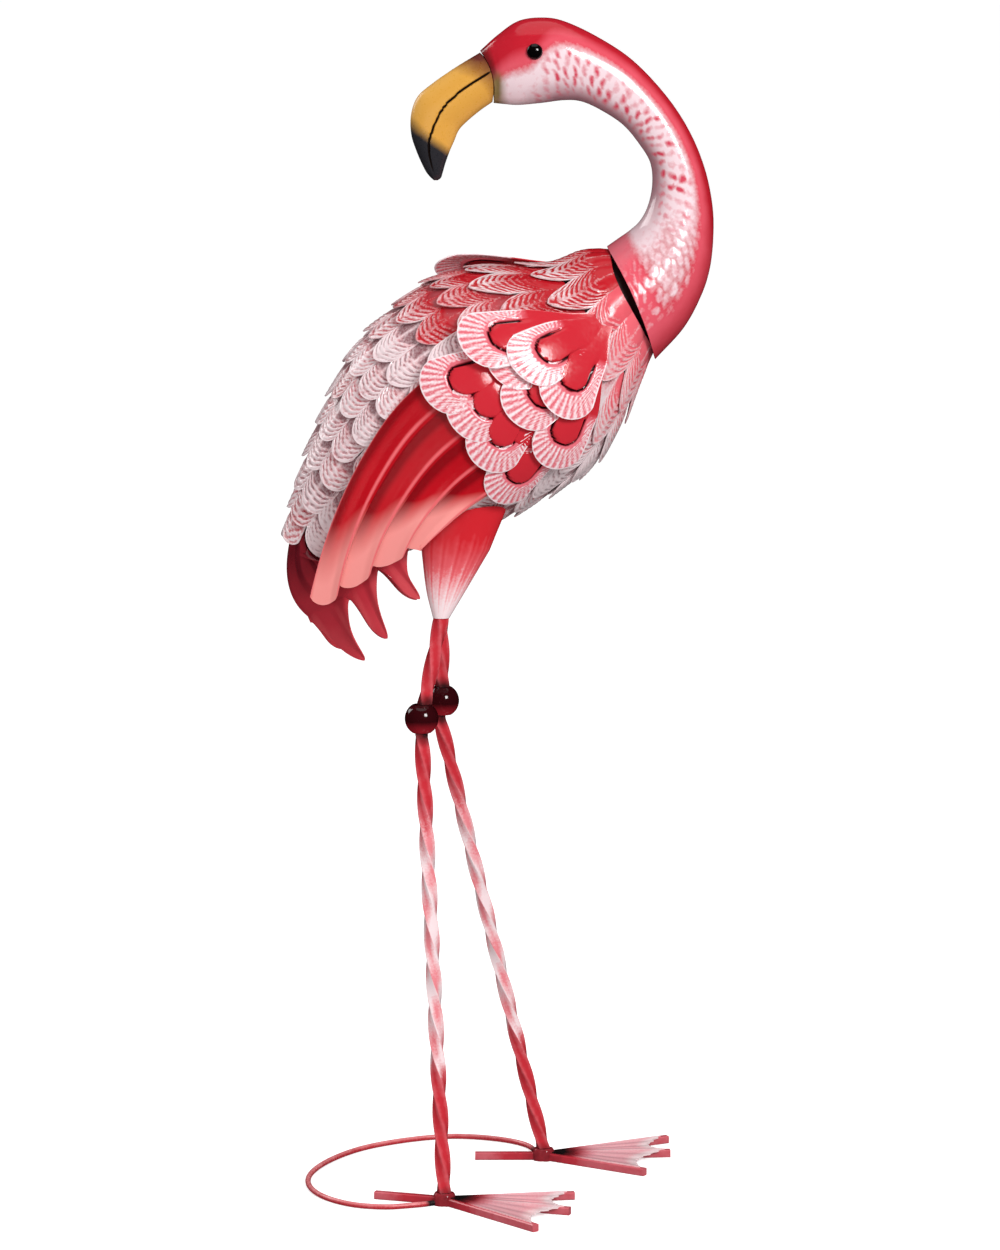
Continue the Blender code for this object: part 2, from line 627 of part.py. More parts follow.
def bar_between(a, b, half_width, bottom, top):
    """A square bar lying from a to b."""
    run = np.array(b, float) - np.array(a, float)
    run /= np.linalg.norm(run)
    side = np.array([-run[1], run[0]]) * half_width
    corners = [np.array(a) + side, np.array(a) - side, np.array(b) - side, np.array(b) + side]
    rings = [[np.array([*c, bottom]) for c in corners], [np.array([*c, top]) for c in corners]]
    return loft("toe", rings, None, smooth=False)


def make_foot(side):
    """Three toe bars and a back toe welded at the ankle, with a web sheet laid over the toes."""
    sign = SIDES[side]
    hub = np.array([HUB[side][0], sign * HUB[side][1]]) * UNIT
    tips = []
    for heading, length in TOES[side]:
        angle = math.radians(heading)
        tips.append(hub + np.array([math.cos(angle), math.sin(angle)]) * length * UNIT)
    sides = 12
    rings = []
    for z, across in ((0.0, ANKLE_DIAMETER), (TOE_BAR, ANKLE_DIAMETER), (ANKLE_HEIGHT, ANKLE_TOP)):
        ring = []
        for j in range(sides):
            angle = 2 * math.pi * j / sides
            out = np.array([math.cos(angle), math.sin(angle)]) * across / 2
            ring.append(np.array([*(hub + out), z]))
        rings.append(ring)
    pieces = [loft("ankle", rings, None)]
    for tip in tips:
        pieces.append(bar_between(hub, tip, TOE_BAR / 2, 0.0, TOE_BAR))
    outline = [hub - (tips[1] - hub) * (1 - WEB_REACH), hub + (tips[0] - hub) * WEB_REACH]
    for first, second in ((tips[0], tips[1]), (tips[1], tips[2])):
        outline.append(hub + ((first + second) / 2 - hub) * WEB_SCOOP)
        outline.append(hub + (second - hub) * WEB_REACH)
    rings = []
    for z in (TOE_BAR - WEB_SHEET / 2, TOE_BAR + WEB_SHEET / 2):
        rings.append([np.array([*p, z]) for p in outline])
    pieces.append(loft("web", rings, None, smooth=False))
    for piece in pieces:
        piece.data.materials.clear()
    return fuse(f"foot_{side}", pieces, material(f"foot_paint_{side}", (0.45, 0.08, 0.1)))


# The steadying ring behind the legs, from the right ankle round to the left ankle
RING_ROUTE = (
    (-58, -90), (-82, -96), (-108, -88), (-130, -64), (-142, -30), (-142, 8),
    (-129, 50), (-104, 90), (-68, 118), (-32, 130), (2, 122), (26, 102),
)


def make_ring():
    """A wire bent round behind the feet, welded to both ankles, that keeps the bird from tipping back."""
    ends = []
    for side, near in (("right", RING_ROUTE[0]), ("left", RING_ROUTE[-1])):
        hub = np.array([HUB[side][0], SIDES[side] * HUB[side][1]])
        away = np.array(near) - hub
        away /= np.linalg.norm(away)
        ends.append(hub + away * (ANKLE_DIAMETER / 2 + CLEARANCE) / UNIT)
    route = [(i, *p) for i, p in enumerate([ends[0], *RING_ROUTE, ends[1]])]
    steps = 32
    sides = 6
    radius = RING_WIRE / 2 / math.cos(math.pi / sides)
    path = [eased(route, (len(route) - 1) * i / steps) * UNIT for i in range(steps + 1)]
    rings = []
    for i, p in enumerate(path):
        run = path[min(i + 1, steps)] - path[max(i - 1, 0)]
        run /= np.linalg.norm(run)
        side = np.array([-run[1], run[0]])
        ring = []
        for j in range(sides):
            angle = 2 * math.pi * j / sides
            offset = side * radius * math.cos(angle)
            ring.append(np.array([p[0] + offset[0], p[1] + offset[1], RING_WIRE / 2 + radius * math.sin(angle)]))
        rings.append(ring)
    return loft("ground_ring", rings, material("ring_paint", (0.55, 0.08, 0.08)))


def centre_on_ground():
    """Puts the origin on the ground, under the middle of the whole bird's box."""
    low = np.full(3, np.inf)
    high = np.full(3, -np.inf)
    for piece in bpy.data.objects:
        corners = np.array([v.co for v in piece.data.vertices])
        low = np.minimum(low, corners.min(axis=0))
        high = np.maximum(high, corners.max(axis=0))
    shift = ((low[0] + high[0]) / 2, (low[1] + high[1]) / 2, low[2])
    for piece in bpy.data.objects:
        for v in piece.data.vertices:
            v.co = (v.co[0] - shift[0], v.co[1] - shift[1], v.co[2] - shift[2])


for old in list(bpy.data.objects):
    bpy.data.objects.remove(old)

make_body()
make_neck()
make_beak()
for row_number in range(ROWS):
    feather_row(row_number)
make_tail()
make_ring()
for side_name in SIDES:
    make_eye(side_name)
    make_wing(side_name)
    for covert_name in COVERTS:
        make_covert(side_name, covert_name)
    make_thigh(side_name)
    make_leg(side_name)
    make_foot(side_name)
centre_on_ground()
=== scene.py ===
"""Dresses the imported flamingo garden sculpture: sheet steel under glossy, airbrushed and dry-brushed enamel.

A drawing unit is one millimetre, in the frame in which the figure's outlines were drawn;
DRAWING_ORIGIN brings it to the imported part's own frame. Lengths are in drawing units, apart from
the sheet's thickness and the studio's sizes, which are in metres.
"""
import math

import bmesh
import bpy
import numpy as np
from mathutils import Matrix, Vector


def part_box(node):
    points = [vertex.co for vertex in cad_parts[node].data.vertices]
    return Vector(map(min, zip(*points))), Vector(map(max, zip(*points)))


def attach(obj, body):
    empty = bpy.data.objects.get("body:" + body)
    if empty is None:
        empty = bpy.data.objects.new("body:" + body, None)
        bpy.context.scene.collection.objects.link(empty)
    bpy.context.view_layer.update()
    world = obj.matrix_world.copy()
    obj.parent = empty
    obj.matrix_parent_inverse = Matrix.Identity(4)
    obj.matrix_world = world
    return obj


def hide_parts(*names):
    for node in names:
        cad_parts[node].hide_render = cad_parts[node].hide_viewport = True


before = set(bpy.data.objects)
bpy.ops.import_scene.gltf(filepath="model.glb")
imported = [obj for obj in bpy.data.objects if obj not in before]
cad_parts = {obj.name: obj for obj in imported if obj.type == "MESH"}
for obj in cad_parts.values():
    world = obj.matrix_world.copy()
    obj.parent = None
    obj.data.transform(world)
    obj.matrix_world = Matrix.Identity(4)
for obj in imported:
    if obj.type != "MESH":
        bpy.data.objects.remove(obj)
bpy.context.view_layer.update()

# The body shell: a welded egg of sheet steel, seen only as the dark ground between the feathers.
# Its near-black maroon enamel is painted shade, standing for the shadow in the gaps under the feathers
# and the neck's rim. It stays the CAD node, because its shape is right, and takes its enamel here.


def linear(code):
    """The linear colour of an sRGB hex code."""
    parts = [int(code[i:i + 2], 16) / 255 for i in (0, 2, 4)]
    return (*[p / 12.92 if p <= 0.04045 else ((p + 0.055) / 1.055) ** 2.4 for p in parts], 1.0)


def add_node(tree, kind, inputs, **settings):
    """A shader node: its settings, then each input as a value or as the output that feeds it."""
    made = tree.nodes.new("ShaderNode" + kind)
    for field, value in settings.items():
        setattr(made, field, value)
    for key, value in inputs.items():
        if isinstance(value, bpy.types.NodeSocket):
            tree.links.new(value, made.inputs[key])
        else:
            made.inputs[key].default_value = value
    return made


PEEL = 2.2  # width of the orange-peel ripples that sprayed enamel dries with


def enamel(name, ground, coats, roughness=0.24, ripple=0.04):
    """Gloss enamel sprayed on steel, then further coats laid where a painted mask and brush grain let them.

    Each coat is its hex colour, its mask attribute, the grain in millimetres, how much the grain
    breaks the mask up, and how soft its border is. Sprayed coats are soft, dry-brushed ones broken.
    """
    made = bpy.data.materials.new(name)
    made.use_nodes = True
    tree = made.node_tree
    shader = tree.nodes["Principled BSDF"]
    spot = add_node(tree, "TexCoord", {}).outputs["Object"]
    colour = linear(ground)
    for code, mask, grain_mm, broken, soft in coats:
        grain = add_node(tree, "TexNoise", {"Vector": spot, "Scale": 1000 / grain_mm, "Detail": 3.0})
        cover = add_node(tree, "Attribute", {}, attribute_name=mask)
        sum_up = {0: grain.outputs["Fac"], 1: broken, 2: cover.outputs["Fac"]}
        mixed = add_node(tree, "Math", sum_up, operation="MULTIPLY_ADD")
        middle = 0.5 + broken / 2
        span = {"Value": mixed.outputs[0], "From Min": middle - soft, "From Max": middle + soft}
        border = add_node(tree, "MapRange", span)
        blend = {0: border.outputs["Result"], 6: colour, 7: linear(code)}
        colour = add_node(tree, "Mix", blend, data_type="RGBA").outputs[2]
    if isinstance(colour, bpy.types.NodeSocket):
        tree.links.new(colour, shader.inputs["Base Color"])
    else:
        shader.inputs["Base Color"].default_value = colour
    peel = add_node(tree, "TexNoise", {"Vector": spot, "Scale": 1000 / PEEL, "Detail": 2.0})
    gloss = {"Value": peel.outputs["Fac"], "From Min": 0.3, "From Max": 0.7}
    gloss.update({"To Min": roughness - 0.05, "To Max": roughness + 0.07})
    tree.links.new(add_node(tree, "MapRange", gloss).outputs["Result"], shader.inputs["Roughness"])
    bump = {"Strength": ripple, "Distance": 0.001, "Height": peel.outputs["Fac"]}
    tree.links.new(add_node(tree, "Bump", bump).outputs["Normal"], shader.inputs["Normal"])
    return made


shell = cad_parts["body_shell"]
shell.data.materials.clear()
# Near-black maroon: painted shade for the gaps between the feathers.
shell.data.materials.append(enamel("dark maroon enamel, painted gap shade", "2E060B", (), 0.65))

# The feather rows: twelve rings of overlapping feathers, cut and embossed from 1 mm sheet steel and
# welded on from the neck down. Each feather has a rolled rim, a quill and barbs. Red enamel is sprayed
# first, salmon on the breast, and white is dry-brushed on the embossing, heavier towards the tail.
# Towards the tail, painted shade darkens the recesses and the feather roots under the row before;
# near the nape, painted white glints lie on the barbs.

low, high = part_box("knee_ball_right")
KNEE_DRAWN = np.array([-0.054, -0.044, 0.3705])  # the right knee ball's middle, drawn, in metres
DRAWING_ORIGIN = np.array((low + high) / 2) - KNEE_DRAWN
AXIS_START = np.array([112.0, 0.0, 686.0])
AXIS_SLOPE = math.radians(40.0)
ALONG = np.array([-math.cos(AXIS_SLOPE), 0.0, -math.sin(AXIS_SLOPE)])
ABOVE = np.array([-math.sin(AXIS_SLOPE), 0.0, math.cos(AXIS_SLOPE)])
ACROSS = np.array([0.0, 1.0, 0.0])
BODY_MIDDLE = AXIS_START + ALONG * 150 + ABOVE * 22
# Stations of the plumage: place along the body's axis, centre above it, half height, half width
PLUMAGE_STATIONS = (
    (-18, 7, 24, 22), (0, 10.5, 37.5, 34), (35, 9.5, 50.5, 46.5), (76, 16, 75.5, 62), (112, 20, 88, 72),
    (145, 23, 87.5, 75), (188, 26, 80.5, 71), (233, 25, 63, 58), (270, 23, 45, 43),
    (300, 20, 29, 28), (340, 9, 12, 12),
)
SHEET = 0.0010
ROWS = 12
FIRST_ROW = 6.0  # where the first row begins along the axis
ROW_PITCH = 34.6
ROW_PITCH_LOSS = 0.73  # rows draw closer together towards the tail
ROW_OVERLAP = 1.62  # a feather's length in row pitches
LAST_ROW_SPAN = math.radians(62)  # the last row goes only this far round from the back
MOUTH_BOW = 4.0  # how far the sides of the neck's open foot bow forward along it
STAND_OFF = 1.6  # height of a feather's root over the shell
LIFT = 5.2  # further height at its tip
FEATHER_DOME = 1.4
FEATHER_WIDTH = 25.0
FEATHER_LAP = 1.07  # width of a feather as a share of the space between two
BARB_PITCH = 4.3  # from one embossed barb to the next
BARB_RISE = 0.85
QUILL_RISE = 0.6
RIM_RISE = 0.7
RIM_WIDTH = 1.7
HIDDEN_PLACES = (75, 200)  # along the axis, plain feathers lie under the wings here
HIDDEN_ANGLES = (math.radians(74), math.radians(124))
NAPE_SLOT = (-6.0, 4.2, 2.0)  # how far the first feathers begin behind the neck's rim: back, sides, breast


def eased(table, at):
    """Smooth values of a table's columns at places given by its first column."""
    rows = np.array(table, float)
    places = rows[:, 0]
    values = rows[:, 1:]
    slopes = np.gradient(values, places, axis=0)
    at = np.asarray(at, float)
    i = np.clip(np.searchsorted(places, at) - 1, 0, len(places) - 2)
    span = (places[i + 1] - places[i])[..., None]
    u = (at[..., None] - places[i][..., None]) / span
    near = (2 * u**3 - 3 * u**2 + 1) * values[i] + (u**3 - 2 * u**2 + u) * span * slopes[i]
    far = (3 * u**2 - 2 * u**3) * values[i + 1] + (u**3 - u**2) * span * slopes[i + 1]
    return near + far


def smooth(low, high, value):
    """A smooth step from 0 at low to 1 at high."""
    share = np.clip((value - low) / (high - low), 0.0, 1.0)
    return share * share * (3 - 2 * share)


def numbered(rows):
    """Rows with their own number in front, as a table for eased."""
    return [(i, *row) for i, row in enumerate(rows)]


def circle(count):
    """Equal angles all the way round."""
    return np.linspace(0, 2 * math.pi, count, endpoint=False)


def unit(vectors):
    """Vectors brought to length 1."""
    return vectors / np.linalg.norm(vectors, axis=-1, keepdims=True)


def placed(drawn):
    """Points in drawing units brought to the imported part's frame, in metres."""
    return np.asarray(drawn) * 0.001 + DRAWING_ORIGIN


def on_hull(table, place, angle, height):
    """Points round the body: angle 0 is the back, +90 degrees the left side; height in millimetres."""
    centre, tall, wide = np.moveaxis(eased(table, place), -1, 0)
    up = centre + (tall + height) * np.cos(angle)
    out = (wide + height) * np.sin(angle)
    return placed(AXIS_START + ALONG * place[..., None] + ABOVE * up[..., None] + ACROSS * out[..., None])


def mesh_grid(points, masks):
    """A mesh grid moved onto the points, with its paint masks as attributes."""
    rows, columns = points.shape[:2]
    bpy.ops.mesh.primitive_grid_add(x_subdivisions=columns - 1, y_subdivisions=rows - 1)
    laid = bpy.context.object
    laid.data.vertices.foreach_set("co", points.ravel())
    for mask, values in masks.items():
        layer = laid.data.attributes.new(mask, "FLOAT", "POINT")
        layer.data.foreach_set("value", np.ascontiguousarray(values, float).ravel())
    laid.data.update()
    return laid


def lay_sheet(points, masks, inside):
    """A grid of points made a mesh sheet whose face looks away from a point inside the bird."""
    normals = np.cross(np.gradient(points, axis=1), np.gradient(points, axis=0))
    if ((points - inside) * normals).sum() < 0:
        points = points[:, ::-1]
        masks = {mask: values[:, ::-1] for mask, values in masks.items()}
    return mesh_grid(points, masks)


def merge_points(distance):
    """Merges the points of the active mesh that lie closer than this, in metres."""
    bpy.ops.object.mode_set(mode="EDIT")
    bpy.ops.mesh.select_all(action="SELECT")
    bpy.ops.mesh.remove_doubles(threshold=distance)
    bpy.ops.object.mode_set(mode="OBJECT")


def join(parts, name):
    """Several meshes made one."""
    bpy.ops.object.select_all(action="DESELECT")
    for part in parts:
        part.select_set(True)
    bpy.context.view_layer.objects.active = parts[0]
    if len(parts) > 1:
        bpy.ops.object.join()
    whole = bpy.context.object
    whole.name = name
    whole.data.name = name
    return whole


def thicken(piece, thickness):
    """Gives a sheet its thickness inwards."""
    bpy.context.view_layer.objects.active = piece
    wall = piece.modifiers.new("sheet steel", "SOLIDIFY")
    wall.thickness = thickness
    wall.offset = -1.0
    bpy.ops.object.modifier_apply(modifier=wall.name)


def hand_over(piece, paint, slot, *nodes):
    """The finished piece: smooth, painted, riding on the bird in place of its CAD nodes."""
    bpy.ops.object.select_all(action="DESELECT")
    piece.select_set(True)
    bpy.context.view_layer.objects.active = piece
    bpy.ops.object.shade_smooth_by_angle(angle=math.radians(42))
    piece.data.materials.clear()
    piece.data.materials.append(paint)
    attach(piece, "root")
    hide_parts(*nodes)


def row_place(row):
    return FIRST_ROW + ROW_PITCH * row - ROW_PITCH_LOSS * row * row


def feather_sheet(row, middle, half_step, start, length, chance, fine):
    """One embossed feather on the hull, with its paint masks."""
    if fine:
        steps = np.concatenate([np.linspace(0, 0.3, 4)[:-1], np.linspace(0.3, 1, 37)])
        across = np.sin(np.linspace(-1, 1, 17) * math.pi / 2)
    else:
        steps = np.linspace(0, 1, 5)
        across = np.linspace(-1, 1, 5)
    t, w = np.meshgrid(steps, across, indexing="ij")
    pointed = max(0.0, 1 - row / 5)
    blunt = 1 - np.sqrt(np.maximum(0.0, 1 - 0.97 * w * w))
    sharp = np.abs(w) ** 1.5
    stretch = 1 + chance[0] * 0.09
    short = (0.34 * (1 - pointed) * blunt + 0.44 * pointed * sharp)
    reach = length * (stretch - short if fine else 0.84 + 0 * w)
    tables = eased(PLUMAGE_STATIONS, start + length / 2)
    half_width = half_step * math.hypot(tables[1], tables[2]) / math.sqrt(2) * FEATHER_LAP
    angle = middle + (w * FEATHER_LAP + 0.16 * chance[1] * t) * half_step
    nape = max(0.0, 1 - row / 4)
    root = start + nape * (-8.0 * np.cos(angle) - MOUTH_BOW * np.sin(angle) ** 2)
    x = t * reach
    y = w * half_width
    edge = np.minimum((1 - np.abs(w)) * half_width, (1 - t) * reach * 0.8)
    rim = 1 - smooth(0.2, RIM_WIDTH, edge)
    quill = (1 - smooth(0.5, 1.5, np.abs(y))) * (1 - smooth(0.8, 0.95, t))
    waviness = 1.0 * np.sin(x * 0.13 + chance[1] * 6) + 0.5 * np.sin(y * 0.9 + chance[3] * 6)
    slant = 1.15 + 0.25 * chance[2]
    ridges = 0.5 + 0.5 * np.cos(2 * math.pi * (x - np.abs(y) * slant + waviness) / BARB_PITCH)
    first = 0.2 + 0.2 * min(1.0, row / 4)
    field = smooth(first, first + 0.15, t) * (1 - rim) * smooth(0.6, 2.0, np.abs(y))
    barbs = smooth(0.22, 0.6, ridges) * field
    flank = (1 if round(middle / half_step) % 4 < 2 else -1) * 0.35
    height = STAND_OFF + LIFT * t * reach / length + FEATHER_DOME * (1 - w * w) * (1 if fine else 0)
    height = height + flank * t + chance[2] * 0.5 * w * t
    if fine:
        height = height + RIM_RISE * rim * smooth(0.2, 0.4, t)
        height = height + QUILL_RISE * quill * smooth(0.1, 0.4, t) + BARB_RISE * barbs
    back, sides, front = NAPE_SLOT
    facing = np.cos(angle)
    slot = back * np.maximum(facing, 0) ** 2 + sides * (1 - facing**2) + front * np.maximum(-facing, 0) ** 2
    slot = slot * (1 - t) if row == 0 else 0.0
    points = on_hull(PLUMAGE_STATIONS, root + x + slot, angle, height)
    turned = abs(math.remainder(middle, 2 * math.pi))
    rear = smooth(52, 142, start + 22 * (1 - math.cos(turned)) + 24 * chance[3])
    breast = smooth(1.0, 2.1, turned) * (1 - smooth(70, 150, start))
    raised = np.clip(rim * 0.9 + 0.9 * quill + barbs, 0, 1)
    tip = smooth(0.4, 0.95, t)
    patch = 0.5 + 0.5 * chance[4]
    # Painted glint: white on the barbs of the first rows near the nape, on the upper sides.
    nape_painted_glint = smooth(75, 20, start) * smooth(2.1, 1.5, turned)
    white = rear * (0.32 + 0.4 * raised + 0.3 * patch * tip) + breast * (0.12 + 0.34 * raised + 0.2 * tip)
    white = white + (1 - rear) * (1 - breast) * raised * ((0.22 + 0.36 * patch) * tip + 0.4 * nape_painted_glint)
    # Painted shade: towards the tail, grey-brown in the recesses between the embossing and at the roots under
    # the row before.
    shade = rear * ((1 - raised) * (0.6 + 0.35 * chance[0]) + 0.5 * (1 - smooth(0.3, 0.55, t)))
    masks = {
        "salmon": np.clip(breast * 1.2 + rear * (0.2 + 0.4 * patch) + 0.3 * raised * tip, 0, 1),
        "white": np.clip(white, 0, 1),
        "shade": np.clip(shade, 0, 1),
    }
    return lay_sheet(points, masks, placed(BODY_MIDDLE))


bpy.ops.object.select_all(action="DESELECT")
luck = np.random.default_rng(7)
# The shade coat is painted shade; part of the white coat is painted glint on the nape barbs.
feather_paint = enamel(
    "feather enamel, dry-brushed, painted shade and glints", "BF1A26",
    (("EE6874", "salmon", 14, 0.35, 0.3), ("8E5A60", "shade", 6, 0.4, 0.35),
     ("EFDADD", "white", 1.8, 0.6, 0.26)), 0.18)
for row in range(ROWS):
    start = row_place(row)
    length = (row_place(row + 1) - start) * ROW_OVERLAP
    _, tall, wide = eased(PLUMAGE_STATIONS, start + length / 2)
    girth = 2 * math.pi * math.hypot(tall, wide) / math.sqrt(2)
    count = 2 * max(3, round(girth / FEATHER_WIDTH / 2))
    step = 2 * math.pi / count
    feathers = []
    for j in range(count):
        middle = (j + 0.5 * (row % 2)) * step
        centre = math.remainder(middle, 2 * math.pi)
        if row == ROWS - 1 and abs(centre) > LAST_ROW_SPAN:
            continue
        hidden = HIDDEN_PLACES[0] < start + length * 0.8 < HIDDEN_PLACES[1]
        hidden = hidden and HIDDEN_ANGLES[0] < abs(centre) < HIDDEN_ANGLES[1]
        chance = luck.uniform(-1, 1, 5)
        feathers.append(feather_sheet(row, middle, step / 2, start, length, chance, not hidden))
    feathers = join(feathers, f"feathers_{row + 1:02d}")
    thicken(feathers, SHEET)
    hand_over(feathers, feather_paint, "feather_enamel", f"feather_row_{row + 1:02d}")

# The tail: one fan of 1 mm sheet steel, cut into six spikes and curved down under the last feathers.
# It has the deepest red of the bird, sprayed thick, so it shines almost like glass. Painted shade
# darkens the sheet under the last feathers and in stripes along its creases, and painted highlight
# lightens the spikes and lays pale stripes on them.

TAIL_ROOT = ((292, 0, -4.0), (296, 36, -4.0), (310, 56, -2.0), (322, 82, 9.0))
TAIL_MIDDLE = ((-158, 0, 479), (-144, 31, 479), (-124, 42, 480), (-113, 47, 490))
# The left half, with the sign +1, was bent a little further back and down
TAIL_NOTCHES = {
    -1: ((-140, 0, 438), (-109, 31, 460), (-86, 45, 486), (-63, 50, 502)),
    1: ((-140, 0, 438), (-111, 31, 451), (-90, 45, 473), (-67, 50, 488)),
}
TAIL_TIPS = {
    -1: ((-98, 17, 411), (-80, 38, 431), (-55, 49, 463)),
    1: ((-115, 17, 415), (-83, 38, 420), (-59, 49, 449)),
}
SPIKE_BASE = 0.12
SPIKE_BEND = np.array((-3.5, 0.0, -5.0))  # both edges of a spike bow the same way, like a claw
INNER_BEND = 0.4  # the edges nearer the middle of the tail bow this share of it
SPIKE_ACROSS = np.array((0.7, 0.0, 0.7))
TIP_HALF = 1.7  # half the width of a spike's rounded tip
NOTCH_HALF = 1.6  # half the width of a notch's rounded end
TAIL_STEPS = 16  # columns of the mesh in half a spike

root = []
for place, angle, height in TAIL_ROOT:
    spot = on_hull(PLUMAGE_STATIONS, np.array([float(place)]), np.radians([float(angle)]), height)[0]
    root.append((spot - DRAWING_ORIGIN) * 1000)
# Columns crowd towards the tips and notches, where the outline turns
half_spike = (1 - np.cos(np.linspace(0, math.pi, TAIL_STEPS + 1))) / 4
outward = np.concatenate([half_spike[:-1] + i / 2 for i in range(6)] + [[3.0]])
halves = []
for half in (-1, 1):
    # Rows up to 1 are the sheet above the spikes, rows from 1 to 2 the spikes
    downward = np.concatenate([np.linspace(0, 1, 40), np.linspace(1, 2, 22)[1:]])
    t, at = np.meshgrid(downward, outward, indexing="ij")
    lines = (root, TAIL_MIDDLE, TAIL_NOTCHES[half])
    a, b, notch = (eased(numbered(line), at) for line in lines)
    base = notch + (b - notch) * SPIKE_BASE
    u = np.minimum(t, 1.0)[..., None]
    points = a * (2 * u * u - 3 * u + 1) + b * (4 * u * (1 - u)) + base * (2 * u * u - u)
    spike = 1 - np.abs(2 * (at % 1.0) - 1)
    nearest = np.array(TAIL_NOTCHES[half], float)[np.round(at).astype(int)]
    tip = np.array(TAIL_TIPS[half], float)[np.minimum(at.astype(int), 2)]
    wider = TIP_HALF * np.sqrt(np.clip((1 - spike) / 0.12, 0, 1)) * smooth(0.2, 0.8, spike)
    wider = wider - NOTCH_HALF * np.sqrt(np.clip(spike / 0.06, 0, 1)) * smooth(0.8, 0.2, spike)
    wider = wider * np.where(at % 1.0 > 0.5, 1, -1)
    bent = 4 * spike * (1 - spike) * np.where(at % 1.0 < 0.5, INNER_BEND, 1.0)
    edge = nearest + (tip - nearest) * spike[..., None] + SPIKE_BEND * bent[..., None]
    edge = edge + SPIKE_ACROSS * wider[..., None]
    points = points + (edge - base) * np.clip(t - 1, 0, 1)[..., None]
    crease = 0.4 * np.sin(at * 7 + 1) + 0.12 * np.sin(at * 17 + 3 * t)
    points[..., 1] = (points[..., 1] + crease * smooth(0.1, 0.8, t) * smooth(0.0, 0.2, at)) * half
    # Painted shade under the last feathers and along the creases; painted highlight towards the spike tips and
    # in stripes.
    masks = {
        "tail_painted_shade": np.clip(smooth(1.0, 0.3, t) * 0.75 + smooth(-0.2, 0.9, np.sin(at * 7 + 2)) * 0.25, 0, 1),
        "tail_painted_highlight": 0.4 * smooth(0.9, 1.8, t) + 0.3 * smooth(0.2, 1.0, np.sin(at * 11)) * smooth(0.7, 1.2, t),
    }
    halves.append(lay_sheet(placed(points), masks, placed((-80, half * 15, 500))))
tail = join(halves, "tail_fan")
merge_points(1e-6)
thicken(tail, SHEET)
tail_paint = enamel(
    "tail enamel, deep red", "C23340",
    (("6E1722", "tail_painted_shade", 20, 0.3, 0.4), ("DC5058", "tail_painted_highlight", 16, 0.3, 0.3)), 0.14)
hand_over(tail, tail_paint, "tail_enamel", "tail")

# The long wing feathers: on each side one pressed sheet with four rounded ridges, a round lobe at the
# end of each, welded on under the coverts. Smooth red enamel is airbrushed with salmon pink at the ends.
# Painted shade darkens the valley at the foot of each ridge and the root under the coverts, and a
# painted highlight lines each crest and the upper edge.

WING_STATIONS = (
    (-10, 6, 45, 42), (0, 6, 48.5, 45), (35, 7, 63.5, 57.5), (76, 14.5, 88, 73), (112, 20, 98, 82.5),
    (145, 22.5, 98.5, 85.5), (188, 23, 97, 82), (233, 18, 95, 76), (285, 11, 92, 67), (345, 1, 88, 56),
)
# The panel's upper and lower edge, as place along the axis and degrees round from the back
WING_ROOT = np.array(((112, -67), (122, -133)), float)
WING_MIDDLE = np.array(((226, -70), (184, -126)), float)
WING_ENDS = ((333, -97), (310, -103), (281, -108), (253, -114), (243, -120))
WING_FEATHERS = 4
LOBE_ALONG = (4.0, 2.0, 2.0, 1.0)  # how far each feather's round end stands past the notches
LOBE_DOWN = (7.5, 7.0, 6.5, 3.5)  # the same, down round the body
LOBE_TURN = 1.2  # drawing units of girth in one degree at the wing's end
RIDGE_HEIGHT = 3.3
WING_SINK = 1.6
SIDES = {"right": -1.0, "left": 1.0}

